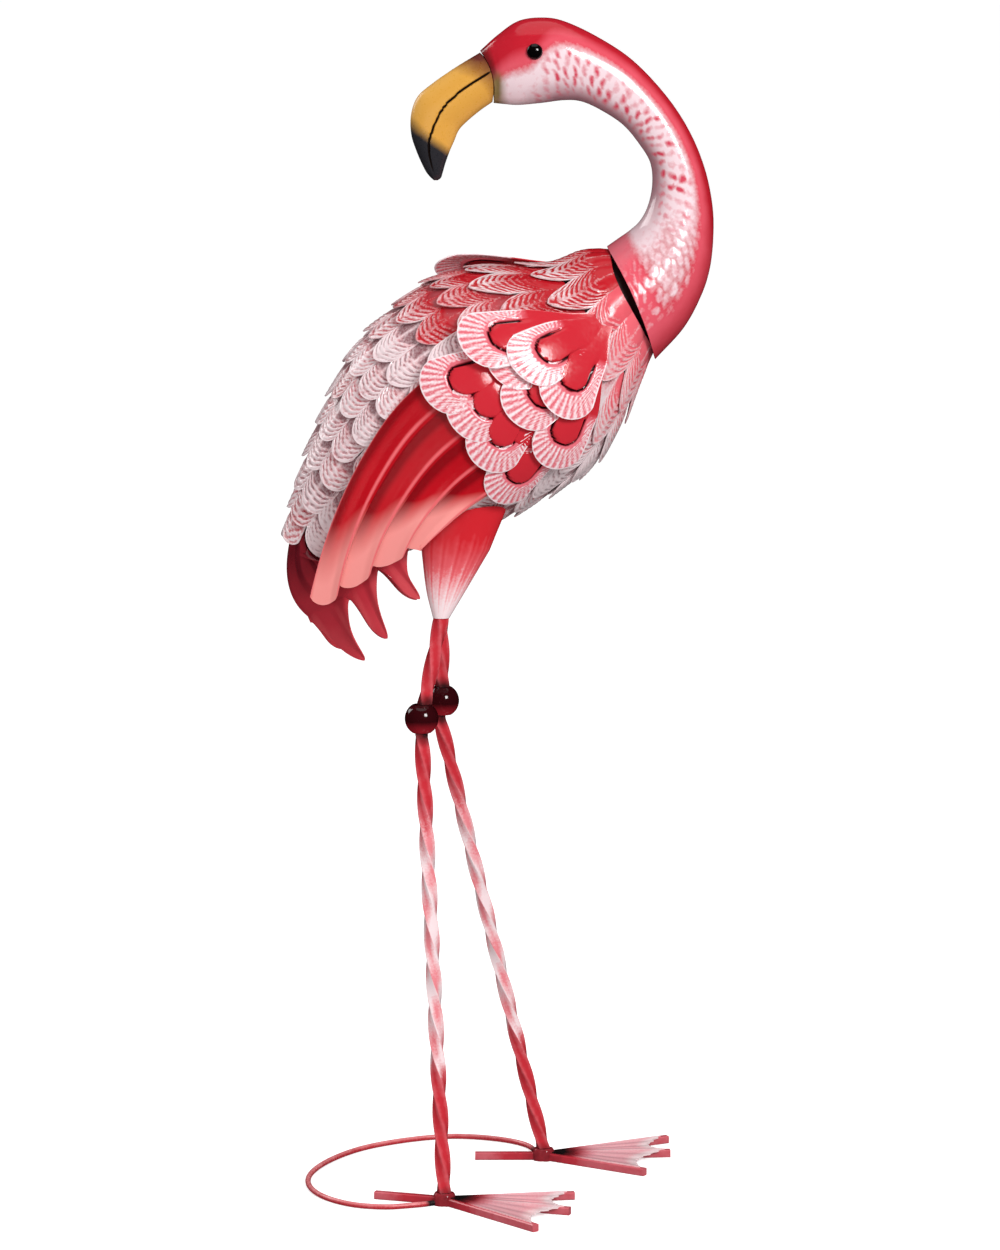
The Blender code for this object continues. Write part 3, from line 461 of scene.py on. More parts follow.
wing_paint = enamel(
    "wing enamel, airbrushed, painted shade and highlights", "C40C1C",
    (("8E0612", "deep", 30, 0.25, 0.4), ("FB9A95", "ends", 26, 0.15, 0.4),
     ("F06A70", "crest_highlight", 9, 0.15, 0.35)), 0.2)
for side_name, sign in SIDES.items():
    u, v = np.meshgrid(np.linspace(0, 1, 76), np.linspace(0, 1, 97), indexing="ij")
    spot = v * WING_FEATHERS
    share = spot % 1.0
    share[:, -1] = 1.0
    end = eased(numbered(WING_ENDS), spot)
    begin = WING_ROOT[0] * (1 - v)[..., None] + WING_ROOT[1] * v[..., None]
    middle = WING_MIDDLE[0] * (1 - v)[..., None] + WING_MIDDLE[1] * v[..., None]
    bend = 2 * middle - (begin + end) / 2
    place = begin * ((1 - u) ** 2)[..., None] + bend * (2 * u * (1 - u))[..., None] + end * (u * u)[..., None]
    feather = np.minimum(spot.astype(int), WING_FEATHERS - 1)
    lobe = np.maximum(np.sin(math.pi * share), 0.0) ** 0.5 * u**6
    along_lobe = np.array(LOBE_ALONG)[feather] * lobe
    down_lobe = np.array(LOBE_DOWN)[feather] * lobe / LOBE_TURN
    rise = smooth(0.5, 0.83, share) * (1 - smooth(0.87, 0.98, share)) * 0.8 + 0.2 * smooth(0.0, 0.5, share)
    swell = np.clip(1.7 * u - 0.3, 0, 1)
    height = RIDGE_HEIGHT * rise * swell - WING_SINK * (1 - u) ** 2
    turn = np.radians(place[..., 1] - down_lobe) * -sign
    points = on_hull(WING_STATIONS, place[..., 0] + along_lobe, turn, height)
    # Painted highlight: a narrow light line along each ridge's crest, and along the upper edge below.
    crest_highlight = smooth(0.72, 0.83, share) * (1 - smooth(0.84, 0.92, share)) * smooth(0.12, 0.4, u)
    faded = 0.87 - 0.12 * v - 0.2 * v * v
    # The deep coat is painted shade in the valleys and under the coverts; the crest coat is painted highlight
    # on the crests and the upper edge.
    masks = {
        "deep": smooth(0.34, 0.0, np.abs(share - 0.06)) * smooth(1.05, 0.7, u) + 0.3 * smooth(0.75, 0.3, u),
        "ends": smooth(faded - 0.17, faded + 0.15, u + 0.05 * smooth(0.3, 0.8, share)),
        "crest_highlight": np.maximum(crest_highlight * 0.85, 0.7 * smooth(0.012, 0.0, v)),
    }
    wing = join([lay_sheet(points, masks, placed((0, 0, 560)))], f"wing_feathers_{side_name}")
    thicken(wing, SHEET)
    hand_over(wing, wing_paint, "red_enamel", f"wing_{side_name}")

# The coverts: on each side four fans of round lobes, pressed from sheet steel and welded one over the
# other from the long feathers up to the shoulder. A U-shaped cut leaves a smooth raised tongue on each
# lobe, in gloss red; the band round it is ribbed, sprayed pink and dry-brushed white. The cut is
# painted near-black as painted shade.

# The root of each fan, its layer and the tips of its lobes, in the same two measures
COVERTS = {
    "rear": ((82, -90), 1, ((166, -70), (165, -91), (169, -112))),
    "lower": ((94, -116), 0, ((158, -107), (179, -131))),
    "middle": ((46, -102), 2, ((114, -76), (128, -100), (131, -131))),
    "front": ((24, -86), 3.6, ((121, -65), (102, -86), (99, -112))),
}
HIGHER_COVERT = (-14, 37)  # the left wing's front sheet is welded higher and shows over the back
COVERT_TURN = 1.48  # drawing units of girth in one degree at the coverts
LOBE_DOME = 2.6
COVERT_STEP = 3.0  # from one layer of coverts to the next
LOBE_HALF = 19.5  # half the width of a lobe
RIB_ANGLE = 0.145  # between two ribs of a lobe's end

covert_paint = enamel(
    "covert enamel, ribs dry-brushed", "CB2A36",
    (("E46E7B", "band", 5, 0.3, 0.25), ("FCE6EA", "ribs", 1.8, 0.55, 0.2),
     ("24040A", "slit_shade", 3, 0.1, 0.25)), 0.15)


def covert_lobe(side_name, root, direction, length, half_width, tip_height, lower):
    """One lobe of a fan, with its ribs, its cut and its raised tongue."""
    t, w = np.meshgrid(np.linspace(0.1, 1, 54), np.sin(np.linspace(-1, 1, 41) * math.pi / 2), indexing="ij")
    round_tip = 1 - np.sqrt(np.maximum(0.0, 1 - 0.985 * w * w))
    x = t * (length - half_width * 0.95 * round_tip)
    y = w * half_width * (0.5 + 0.5 * smooth(0.05, 0.62, t))
    tongue_half = half_width * 0.53
    round_end = length - half_width * 1.08 - tongue_half
    past = np.maximum(x - round_end, 0.0)
    away = np.where(x > round_end, np.hypot(past, y), np.abs(y)) - tongue_half
    cut = (1 - smooth(0.4, 1.4, np.abs(away - 0.2))) * smooth(round_end - 15, round_end - 12, x)
    tongue = 1 - smooth(-1.6, 0.1, away)
    outer_part = smooth(round_end - 24, round_end - 8, x)
    flange = (1 - smooth(1.8, 3.0, away)) * smooth(0.4, 0.9, away) * outer_part
    band = smooth(0.7, 1.6, away) * outer_part
    ribbed = smooth(2.2, 3.6, away) * outer_part
    fan = np.arctan2(y, x - round_end + 6)
    ribbing = 0.5 + 0.5 * np.cos(fan / RIB_ANGLE * 2 * math.pi)
    border = np.minimum((1 - t) * length, (1 - np.abs(w)) * half_width)
    lip = 1 - smooth(0.2, 1.1, border)
    crown = (1 - w * w) * np.sin(math.pi * np.minimum(1.0, t * 1.05)) ** 0.8
    height = tip_height * t - 0.2 + LOBE_DOME * crown * t - 0.5 * lower * t
    height = height + 1.3 * tongue * outer_part - 1.6 * cut + 0.75 * ribbing * ribbed * (1 - lip)
    place = root[0] + x * math.cos(direction) + y * math.sin(direction)
    girth_place = x * math.sin(direction) - y * math.cos(direction)
    turn = np.radians(root[1] + girth_place / COVERT_TURN) * -SIDES[side_name]
    points = on_hull(WING_STATIONS, place, turn, height)
    ribs = ribbed * (0.2 + 0.55 * ribbing) + 0.2 * flange + 0.5 * lip * outer_part
    # The slit mask is painted shade: near-black in the U-shaped cut.
    masks = {"band": band, "ribs": np.clip(ribs, 0, 1), "slit_shade": cut}
    return lay_sheet(points, masks, placed((40, 0, 620)))


for side_name in SIDES:
    for covert_name, (root, layer, tips) in COVERTS.items():
        if side_name == "left" and covert_name == "front":
            root = (root[0] + HIGHER_COVERT[0], root[1] + HIGHER_COVERT[1])
            tips = [(place + HIGHER_COVERT[0], angle + HIGHER_COVERT[1]) for place, angle in tips]
        reached = [(place - root[0], (angle - root[1]) * COVERT_TURN) for place, angle in tips]
        ways = [(math.atan2(y, x), math.hypot(x, y)) for x, y in reached]
        tip_height = COVERT_STEP * (layer + 0.75)
        lobes = []
        for lower, (direction, length) in enumerate(ways):
            lobes.append(covert_lobe(side_name, root, direction, length, LOBE_HALF, tip_height, lower))
        coverts = join(lobes, f"coverts_{covert_name}_fan_{side_name}")
        thicken(coverts, SHEET)
        hand_over(coverts, covert_paint, "covert_enamel", f"coverts_{covert_name}_{side_name}")

# The neck and head: two pressed halves welded along the crown and the throat, ground smooth, open at
# the foot, where it slips over the breast. Red is sprayed over the outside of the curve, white over
# the inside, and red scale marks are dabbed on in rows where the two meet. Pink is sprayed along the
# red beside the white; painted light brightens the lower neck, painted shade darkens the inside of the
# curve, and the hollow of the open foot is painted dark as its shade.

NECK_STATIONS = (
    (124.0, 641.0, 87.0, 727.0, 43.0), (145.3, 664.5, 95.5, 733.0, 38.5),
    (158.0, 687.5, 104.0, 739.0, 33.5), (165.0, 708.5, 112.0, 746.5, 29.5),
    (167.8, 732.0, 118.0, 758.0, 25.5), (167.2, 757.5, 121.2, 774.0, 22.0),
    (161.0, 786.5, 119.6, 790.5, 19.8), (149.0, 815.0, 111.3, 804.5, 18.6),
    (131.3, 841.5, 99.0, 819.0, 18.6), (106.3, 867.7, 82.5, 830.0, 19.5),
    (79.8, 885.3, 67.5, 836.7, 21.0), (54.1, 897.3, 54.2, 837.7, 23.0),
    (36.7, 900.0, 36.8, 835.6, 24.3), (19.3, 897.3, 19.3, 834.1, 23.5),
    (4.0, 887.0, 9.0, 834.8, 20.5), (-9.4, 875.0, 0.8, 835.6, 16.4),
)
NECK_WALL = 1.4
MOUTH_DEPTH = 18.0
JOINT_BOW = 5.0
SCALE_LENGTH = 8.6  # of the painted scale marks along the neck
NECK_SIDES = 144
# Where red meets white round the neck, in radians from the outside of the curve, by station
WHITE_LINE = (
    (0, 1.1), (2, 1.1), (6, 1.12), (9, 1.08), (10.5, 1.1), (11.6, 1.3), (12.4, 1.7), (13.5, 1.78), (15, 1.9),
)
# The hollow that shows in the open foot: above the axis, half its height and half its width
NECK_HOLLOW = (6.0, 27.0, 24.5)


def outline_rings(stations, at, angles, bow, thinner=0.0):
    """Rings of points round a form drawn by its two outlines, and the middle of each ring."""
    table = numbered(stations)

    def middle(places):
        values = eased(table, places)
        return np.stack([(values[:, 0] + values[:, 2]) / 2, 0 * places, (values[:, 1] + values[:, 3]) / 2], 1)

    at = np.asarray(at, float)
    values = eased(table, at)
    forward = unit(middle(at + 0.02) - middle(at - 0.02))
    deep = np.stack([(values[:, 0] - values[:, 2]) / 2, 0 * at, (values[:, 1] - values[:, 3]) / 2], 1)
    depth = np.linalg.norm(deep, axis=1, keepdims=True)
    deep = deep * (1 - np.reshape(thinner, (-1, 1)) / depth)
    width = values[:, 4] - thinner
    round_by = np.cos(angles)[None, :, None]
    out_by = np.sin(angles)[None, :, None]
    bows = (np.asarray(bow) + 0 * at)[:, None, None]
    rings = middle(at)[:, None] + deep[:, None] * round_by + ACROSS * width[:, None, None] * out_by
    return rings + forward[:, None] * bows * out_by**2, middle(at), width


def closed_tube(name, rings, masks):
    """A tube from rings of equal count: a grid rolled up, merged at its seam and closed at both ends."""
    wrapped = {mask: np.concatenate([values, values[:, :1]], axis=1) for mask, values in masks.items()}
    tube = mesh_grid(np.concatenate([rings, rings[:, :1]], axis=1), wrapped)
    merge_points(1e-7)
    work = bmesh.new()
    work.from_mesh(tube.data)
    bmesh.ops.holes_fill(work, edges=[edge for edge in work.edges if edge.is_boundary], sides=0)
    bmesh.ops.recalc_face_normals(work, faces=work.faces)
    work.to_mesh(tube.data)
    work.free()
    tube.name = name
    tube.data.name = name
    return tube


last = len(NECK_STATIONS) - 1
round_angles = circle(NECK_SIDES)
at = np.concatenate([np.linspace(0, last - 0.001, 330), [last]])
bow = MOUTH_BOW * smooth(1.0, 0.0, at) - JOINT_BOW * smooth(last - 1.2, last, at)
outer, middles, width = outline_rings(NECK_STATIONS, at, round_angles, bow)
run = np.concatenate([[0], np.cumsum(np.linalg.norm(np.diff(middles, axis=0), axis=1))])
turned = np.minimum(round_angles, 2 * math.pi - round_angles)[None, :] + 0 * run[:, None]
travel = run[:, None] + 0 * turned
girth_place = turned * width[:, None]
side_sign = np.where(round_angles > math.pi, 1.0, -1.0)[None, :]
wander = 0.25 * np.sin(travel / 13 + side_sign) + 0.2 * np.sin(girth_place / 9)
rank = np.floor(travel / SCALE_LENGTH + wander)
lane = girth_place / (SCALE_LENGTH * 0.82) + 0.5 * (rank % 2)
cell = np.floor(lane)
lot = np.abs(np.sin(rank * 12.9898 + cell * 78.233 + side_sign * 3.7) * 43758.5453) % 1.0
seat_x = travel / SCALE_LENGTH + wander - rank - 0.5 + 0.1 * np.sin(girth_place / 1.9 + lot * 30)
seat_y = lane - cell - 0.5 + 0.12 * np.sin(travel / 2.3 + lot * 20)
scale_body = (1 - smooth(0.22, 0.5, np.hypot(seat_x * 0.9, seat_y))) * (0.35 + 0.65 * lot)
stroke = np.hypot(1.3 * (seat_x + 0.3 * seat_y), seat_y * 0.62)
dab = (1 - smooth(0.05, 0.62, stroke)) * (0.45 + 0.55 * smooth(0.1, 0.7, lot))
# White covers the inside of the curve; on the head it covers the cheek and the throat
line = eased(WHITE_LINE, at)
inside = smooth(line - 0.3, line + 0.3, turned)
foot = smooth(1.9, 0.7, at[:, None] + 0.5 * (1.75 - turned))
chin = smooth(14.0, 15.0, at)[:, None]
white = inside * (1 - 0.9 * foot) * (1 - 0.6 * chin)
low_neck = smooth(5.2, 3.2, at)[:, None]
scaly = smooth(line - 0.35, line + 0.1, turned) * (1 - smooth(line + 0.8, line + 1.3, turned)) * low_neck
white = white * (1 - 0.5 * scaly * (1 - scale_body)) + 0.55 * scaly * scale_body * (1 - white)
dabbed = smooth(line - 0.1, line + 0.25, turned) * (1 - smooth(line + 1.0, line + 1.7, turned))
dabbed = dabbed * (1 - 0.6 * low_neck) * (0.15 + 0.85 * smooth(13.0, 11.2, at)[:, None])
# Pink fade along the red beside the white line; the lower neck's share below is painted light.
pink_fade_and_painted_light = smooth(line - 0.75, line - 0.1, turned) * (1 - inside * (1 - foot))
masks = {
    "white": np.clip(white, 0, 1),
    "pink_fade_and_painted_light": np.clip(pink_fade_and_painted_light * 0.75 + 0.35 * low_neck * smooth(0.9, 0.3, turned), 0, 1),
    "dab": dab * dabbed * 0.95,
    "shadow": 0.9 * smooth(1.8, 2.7, turned) * (1 - 0.6 * low_neck) * smooth(13.5, 11.0, at)[:, None],
    "olive": smooth(13.3, 14.7, at)[:, None] * 0.9 * smooth(1.3, 1.9, turned),
    "joint_brown_and_foot_shade": smooth(14.3, 15.0, at)[:, None] * 0.75 * smooth(2.0, 1.5, turned),
}
relief = 0.3 * scale_body * scaly
outer = outer + unit(outer - middles[:, None]) * relief[..., None]
lip = outline_rings(NECK_STATIONS, np.array([0.0]), round_angles, MOUTH_BOW, np.array([NECK_WALL]))[0]
rise, half_tall, half_wide = NECK_HOLLOW
hollow = AXIS_START - ALONG * (MOUTH_DEPTH + 0.3) + ABOVE * rise
hollow = hollow - ABOVE * half_tall * np.cos(round_angles)[:, None]
hollow = hollow + ACROSS * half_wide * np.sin(round_angles)[:, None]
rings = np.concatenate([hollow[None], lip, outer])
masks = {mask: np.concatenate([0 * values[:2], values]) for mask, values in masks.items()}
# The hollow and lip of the open foot are painted dark: painted shade. Near the beak the same coat is the brown
# of the joint.
masks["joint_brown_and_foot_shade"][:2] = 1.0
neck = closed_tube("neck_and_head", placed(rings), masks)
neck_paint = enamel(
    "neck enamel, red and white", "C0202F",
    (("EA6272", "pink_fade_and_painted_light", 12, 0.25, 0.4), ("EFD5DB", "white", 2.4, 0.4, 0.32),
     ("AE828B", "shadow", 9, 0.3, 0.4), ("D2485C", "dab", 3.2, 0.8, 0.4),
     ("8A7448", "olive", 7, 0.3, 0.4), ("4E1A18", "joint_brown_and_foot_shade", 6, 0.3, 0.4)), 0.11)
hand_over(neck, neck_paint, "red_enamel", "neck")

# The beak: pressed steel in two halves, welded along the mouth and to the head. Ochre yellow enamel,
# airbrushed charcoal at the hooked tip and brown where it meets the red, with the mouth line sunk.

BEAK_STATIONS = (
    (-9.6, 873.6, 0.0, 836.4, 15.4), (-29.0, 861.8, -9.5, 829.8, 14.5),
    (-46.0, 850.0, -19.5, 821.5, 13.5), (-56.8, 840.3, -25.5, 815.0, 12.4),
    (-61.6, 827.5, -29.2, 806.5, 11.2), (-61.7, 812.5, -32.3, 799.5, 10.0),
    (-57.6, 799.0, -35.4, 791.0, 8.2), (-51.5, 785.5, -37.6, 783.5, 6.0),
    (-47.8, 780.2, -39.0, 779.2, 4.2), (-44.6, 777.2, -41.4, 777.2, 1.8),
)
LIP_GROOVE = 1.3  # depth of the sunk mouth line
GROOVE_HALF = 1.2  # half the width of the sunk mouth line
# How far the mouth line runs above the middle of the beak's side, in millimetres, by station
MOUTH_SHIFT = ((0, 2.6), (1, 2.4), (2, 1.2), (3, -1.0), (4, -0.6), (5, 1.2), (6, 1.2), (7, 0.6), (9, 0))

last = len(BEAK_STATIONS) - 1
beak_angles = circle(128)
at = np.linspace(0, last, 140)
bow = JOINT_BOW * np.clip(1 - at / 2, 0, 1)
rings, middles, width = outline_rings(BEAK_STATIONS, at, beak_angles, -bow)
half_depth = np.linalg.norm(rings[:, 0] - middles, axis=1)[:, None]
above = half_depth * np.cos(beak_angles) - eased(MOUTH_SHIFT, at)
beside = np.abs(np.sin(beak_angles))
away = np.abs(above) + 20 * (beside < 0.5)
groove = (1 - smooth(GROOVE_HALF * 0.45, GROOVE_HALF, away)) * smooth(-0.2, 0.3, at)[:, None]
groove = groove * (1 - 0.8 * smooth(5.4, 7.5, at)[:, None])
rings = rings - unit(rings - middles[:, None]) * (LIP_GROOVE * groove)[..., None]
upper = np.cos(beak_angles)[None, :]
masks = {
    "tip": smooth(4.0, 5.5, at[:, None] + 0.35 * upper),
    "joint": smooth(0.9 + 0.6 * upper, 0.0, at[:, None]) * (0.65 + 0.35 * upper),
    "mouth": np.clip(groove * 1.4, 0, 1),
    "warm": 0.5 * smooth(0.2, 1.2, np.abs(upper)) + 0 * at[:, None],
}
beak = closed_tube("beak_halves", placed(rings), masks)
beak_paint = enamel(
    "beak enamel, ochre", "DFA243",
    (("EDB55C", "warm", 12, 0.3, 0.4), ("6A2A22", "joint", 7, 0.25, 0.4), ("2A292E", "tip", 8, 0.2, 0.4),
     ("160B07", "mouth", 3, 0.1, 0.2)), 0.3)
hand_over(beak, beak_paint, "beak_enamel", "beak")

# The eyes: black glass cabochons, domed, glued flat on each side of the head. Clear polished glass
# over black gives one small sharp highlight.

EYE_STATION = 12.28
EYE_RISE = 0.235
EYE_RADIUS = 6.1
EYE_HEIGHT = 4.4

x_out, z_out, x_in, z_in, eye_width = eased(numbered(NECK_STATIONS), np.array(EYE_STATION))
middle = np.array([(x_out + x_in) / 2, 0, (z_out + z_in) / 2])
seat = middle + np.array([(x_out - x_in) / 2, 0, (z_out - z_in) / 2]) * EYE_RISE
out = eye_width * math.sqrt(1 - EYE_RISE**2) + 0.45
eye_paint = enamel("black glass", "060505", (), 0.09, 0.0)
for side_name, sign in SIDES.items():
    bpy.ops.object.select_all(action="DESELECT")
    bpy.ops.mesh.primitive_uv_sphere_add(segments=48, ring_count=24, radius=1.0)
    eye = bpy.context.object
    bpy.ops.object.mode_set(mode="EDIT")
    bpy.ops.mesh.select_all(action="SELECT")
    bpy.ops.mesh.bisect(plane_co=(0, 0, 0), plane_no=(0, 0, 1), use_fill=True, clear_inner=True)
    bpy.ops.mesh.select_all(action="SELECT")
    bpy.ops.mesh.normals_make_consistent(inside=False)
    bpy.ops.object.mode_set(mode="OBJECT")
    co = np.array([v.co for v in eye.data.vertices])
    drawn = np.stack([co[:, 0] * EYE_RADIUS, co[:, 2] * EYE_HEIGHT * sign, -co[:, 1] * EYE_RADIUS * sign], 1)
    drawn = drawn + np.array([seat[0], sign * out, seat[2]])
    eye.data.vertices.foreach_set("co", placed(drawn).ravel())
    eye.data.update()
    eye.name = f"glass_eye_{side_name}"
    hand_over(eye, eye_paint, "eye_gloss", f"eye_{side_name}")

# The thighs: flattened cones rolled from sheet steel, welded under the belly and pinched to the leg.
# Red enamel, with white dragged up from the narrow end in upright brush strokes.

THIGH_FOOT = {"right": (-39.0, 40.0, 447.5), "left": (-40.0, 40.0, 447.5)}
# Sections up the cone: station, rise, lean forward, half length, half width
THIGH_SECTIONS = ((0.0, 0.0, 0.0, 6.4, 6.2), (1.0, 22.0, 4.0, 15.5, 9.5), (2.0, 52.0, 11.0, 26.0, 13.5))
TOP_LEAN, TOP_OUT, TOP_LONG, TOP_WIDE = 17.0, 1.0, 32.0, 15.0  # the cone where it meets the belly
JOINT_GAP = 0.3  # between pieces that are welded together
BELLY_GAP = STAND_OFF + LIFT + FEATHER_DOME + 4 * JOINT_GAP
BELLY_SEARCH = (430.0, 640.0)  # heights between which the belly is looked for
thigh_paint = enamel(
    "thigh enamel, dragged white", "D42630",
    (("F2757D", "pink", 6, 0.3, 0.45), ("FBE2E5", "white", 1.6, 0.5, 0.35)), 0.16)


def belly_height(x, y):
    """How high a thing under the bird can reach at drawing points x, y before it meets the feathers."""
    low = np.full(x.shape, BELLY_SEARCH[0])
    high = np.full(x.shape, BELLY_SEARCH[1])
    for _ in range(40):
        z = (low + high) / 2
        flat = np.stack([x, 0 * x, z], -1) - AXIS_START
        centre, tall, wide = np.moveaxis(eased(PLUMAGE_STATIONS, flat @ ALONG), -1, 0)
        up = flat @ ABOVE - centre
        inside = (up / (tall + BELLY_GAP)) ** 2 + (y / (wide + BELLY_GAP)) ** 2 < 1
        high = np.where(inside, z, high)
        low = np.where(inside, low, z)
    return low


for side_name, sign in SIDES.items():
    foot_x, foot_y, foot_z = THIGH_FOOT[side_name]
    angles = circle(72)
    rise, lean, long, wide = np.moveaxis(eased(THIGH_SECTIONS, np.linspace(0, 2, 60)), -1, 0)
    x = foot_x + lean[:, None] + long[:, None] * np.cos(angles)
    y = sign * foot_y + wide[:, None] * np.sin(angles)
    z = foot_z + rise[:, None] + 0 * x
    top_x = foot_x + TOP_LEAN + TOP_LONG * np.cos(angles)
    top_y = sign * (foot_y + TOP_OUT) + TOP_WIDE * np.sin(angles)
    top_z = belly_height(top_x, top_y)
    share = np.linspace(0, 1, 24)[1:, None]
    walls = np.stack([x[-1] + (top_x - x[-1]) * share, y[-1] + (top_y - y[-1]) * share,
                      z[-1] + (top_z - z[-1]) * share], -1)
    caps = []
    for inner in (0.75, 0.5, 0.25, 0.04):
        cap_x = foot_x + TOP_LEAN + TOP_LONG * inner * np.cos(angles)
        cap_y = sign * (foot_y + TOP_OUT) + TOP_WIDE * inner * np.sin(angles)
        caps.append(np.stack([cap_x, cap_y, belly_height(cap_x, cap_y)], -1))
    rings = np.concatenate([np.stack([x, y, z], -1), walls, np.array(caps)])
    streak = 2.5 * np.sin(angles * 13 + 1) + 2.5 * np.sin(angles * 29) + 3 * np.sin(angles * 43 + 2)
    above = rings[..., 2] - foot_z
    masks = {"pink": smooth(70, 18, above + streak), "white": smooth(50, -4, above + streak * 1.5)}
    thigh = closed_tube(f"thigh_cone_{side_name}", placed(rings), masks)
    hand_over(thigh, thigh_paint, "thigh_enamel", f"thigh_{side_name}")

# The legs: 9 mm square steel bar, twisted cold to a left-handed spiral, cut and welded at the thigh,
# the knee ball and the foot. Red enamel, dry-brushed white on the spiral's edges, sooty at the ankle.

LEG_BAR = 9.2
LEG_TWIST = 136.0  # height of one full turn
KNEE_HEIGHT = 370.5
KNEE = {"right": (-54.0, 44.0, KNEE_HEIGHT), "left": (-39.0, 44.0, KNEE_HEIGHT)}
LEG_HEAD = {"right": -0.5, "left": -5.5}  # the lower bar's top, forward of the knee's middle
HUB = {"right": (-37.0, 80.0), "left": (40.0, 62.0)}  # where each leg stands: forward, out to its side
KNEE_RADIUS = 12.9
ANKLE_HEIGHT = 9.5
BAR_EDGE = 0.9  # radius of the bar's rounded edges

seat = LEG_BAR / math.sqrt(2) + 0.6
flat = math.sqrt(KNEE_RADIUS**2 - seat**2)
leg_paint = enamel(
    "leg enamel, dry-brushed", "CC303B",
    (("F08A92", "pink", 5, 0.4, 0.4), ("FBE2E5", "white", 1.6, 0.6, 0.28),
     ("1F1718", "soot", 5, 0.4, 0.3)), 0.16)


def leg_point(table, side_name):
    """A leg's point from its table, with the distance out turned to that leg's side."""
    ahead, out, *height = table[side_name]
    return np.array([ahead, SIDES[side_name] * out, *height])


def twisted_bar(name, low, high, bottom, top):
    """A square bar between two points in drawing units, cut level at both ends, with its paint masks."""
    profile = []
    half = LEG_BAR / 2
    for corner in range(4):
        turn = corner * math.pi / 2
        for degrees in (0, 22.5, 45, 67.5, 90):
            lean = math.radians(degrees)
            x = half - BAR_EDGE + BAR_EDGE * math.cos(lean)
            y = half - BAR_EDGE + BAR_EDGE * math.sin(lean)
            profile.append((x * math.cos(turn) - y * math.sin(turn), x * math.sin(turn) + y * math.cos(turn)))
        profile.append((-half * math.sin(turn), half * math.cos(turn)))
    profile = np.array(profile)
    z = np.linspace(bottom, top, max(8, round((top - bottom) / 1.6)))
    share = (z - low[2]) / (high[2] - low[2])
    turn = -2 * math.pi * (z + DRAWING_ORIGIN[2] * 1000) / LEG_TWIST - math.pi / 4
    c, s = np.cos(turn)[:, None], np.sin(turn)[:, None]
    x = (low[0] + (high[0] - low[0]) * share)[:, None] + profile[:, 0] * c - profile[:, 1] * s
    y = (low[1] + (high[1] - low[1]) * share)[:, None] + profile[:, 0] * s + profile[:, 1] * c
    rings = np.stack([x, y, z[:, None] + 0 * x], -1)
    out = np.hypot(profile[:, 0], profile[:, 1])
    corner = smooth(half * 1.02, half * 1.3, out)[None, :] + 0 * x
    level = z[:, None] + 0 * x
    # Strokes run along the twist: they change quickly round the bar and slowly along it
    round_bar = np.arctan2(profile[:, 1], profile[:, 0])[None, :]
    stroke = 0.5 * np.sin(5 * round_bar + level / 9) + np.sin(11 * round_bar - level / 13 + 2)
    stroke = (stroke + np.sin(17 * round_bar + level / 5)) / 2.5
    pale = smooth(78, 140, level + 16 * stroke) * (1 - smooth(255, 318, level + 20 * stroke))
    near_knee = smooth(26, 10, np.abs(level - KNEE_HEIGHT) + 3 * stroke)
    masks = {
        "pink": pale * (0.85 - 0.35 * stroke) + 0.3 * corner,
        "white": pale * (0.46 + 0.06 * corner + 0.6 * stroke) + 0.12 * corner,
        "soot": np.maximum(0.6 * smooth(22, 6, level), 0.75 * near_knee),
    }
    return closed_tube(name, placed(rings), {mask: np.clip(values, 0, 1) for mask, values in masks.items()})


for side_name in SIDES:
    knee = leg_point(KNEE, side_name)
    foot = np.array([*leg_point(HUB, side_name), ANKLE_HEIGHT])
    hip = leg_point(THIGH_FOOT, side_name)
    head = knee + np.array([LEG_HEAD[side_name], 0, 0])
    under_ball, over_ball = knee[2] - flat - JOINT_GAP, knee[2] + flat + JOINT_GAP
    shin = twisted_bar(f"shin_bar_{side_name}", foot, head, ANKLE_HEIGHT + JOINT_GAP, under_ball)
    hand_over(shin, leg_paint, "leg_enamel", f"lower_leg_{side_name}")
    shank = twisted_bar(f"thigh_bar_{side_name}", knee, hip, over_ball, hip[2] - JOINT_GAP)
    hand_over(shank, leg_paint, "leg_enamel", f"upper_leg_{side_name}")

# The knee balls: turned steel balls of 26 mm with two small flats, welded between the bars.
# Near-black maroon gloss enamel, misted red from below.

ball_paint = enamel("knee enamel, black maroon", "33080D", (("A31F2B", "under", 8, 0.2, 0.4),), 0.08, 0.01)
for side_name in SIDES:
    knee = leg_point(KNEE, side_name)
    angles = circle(64)
    rise = np.linspace(-math.asin(flat / KNEE_RADIUS), math.asin(flat / KNEE_RADIUS), 33)
    ring = np.cos(rise)[:, None]
    up = np.sin(rise)[:, None] + 0 * angles
    points = np.stack([ring * np.cos(angles), ring * np.sin(angles), up], -1) * KNEE_RADIUS + knee
    ball = closed_tube(f"turned_ball_{side_name}", placed(points), {"under": smooth(0.1, -0.9, up)})
    hand_over(ball, ball_paint, "knee_enamel", f"knee_ball_{side_name}")

# The feet: three 6 mm square toe bars and a back toe, welded under the leg in a sooty boss, with a
# web of 1.2 mm sheet hammered over the toes. Pink and white dry-brushed over red, black at the weld.

TOE_BAR = 6.0
WEB_SHEET = 1.2
ANKLE_RADIUS = 8.5
# Sections up the sooty boss: station, height, radius
BOSS_SECTIONS = ((0.0, 0.0, ANKLE_RADIUS), (1.0, 6.0, ANKLE_RADIUS), (2.0, 8.2, 7.9), (3.0, 9.5, 7.0))
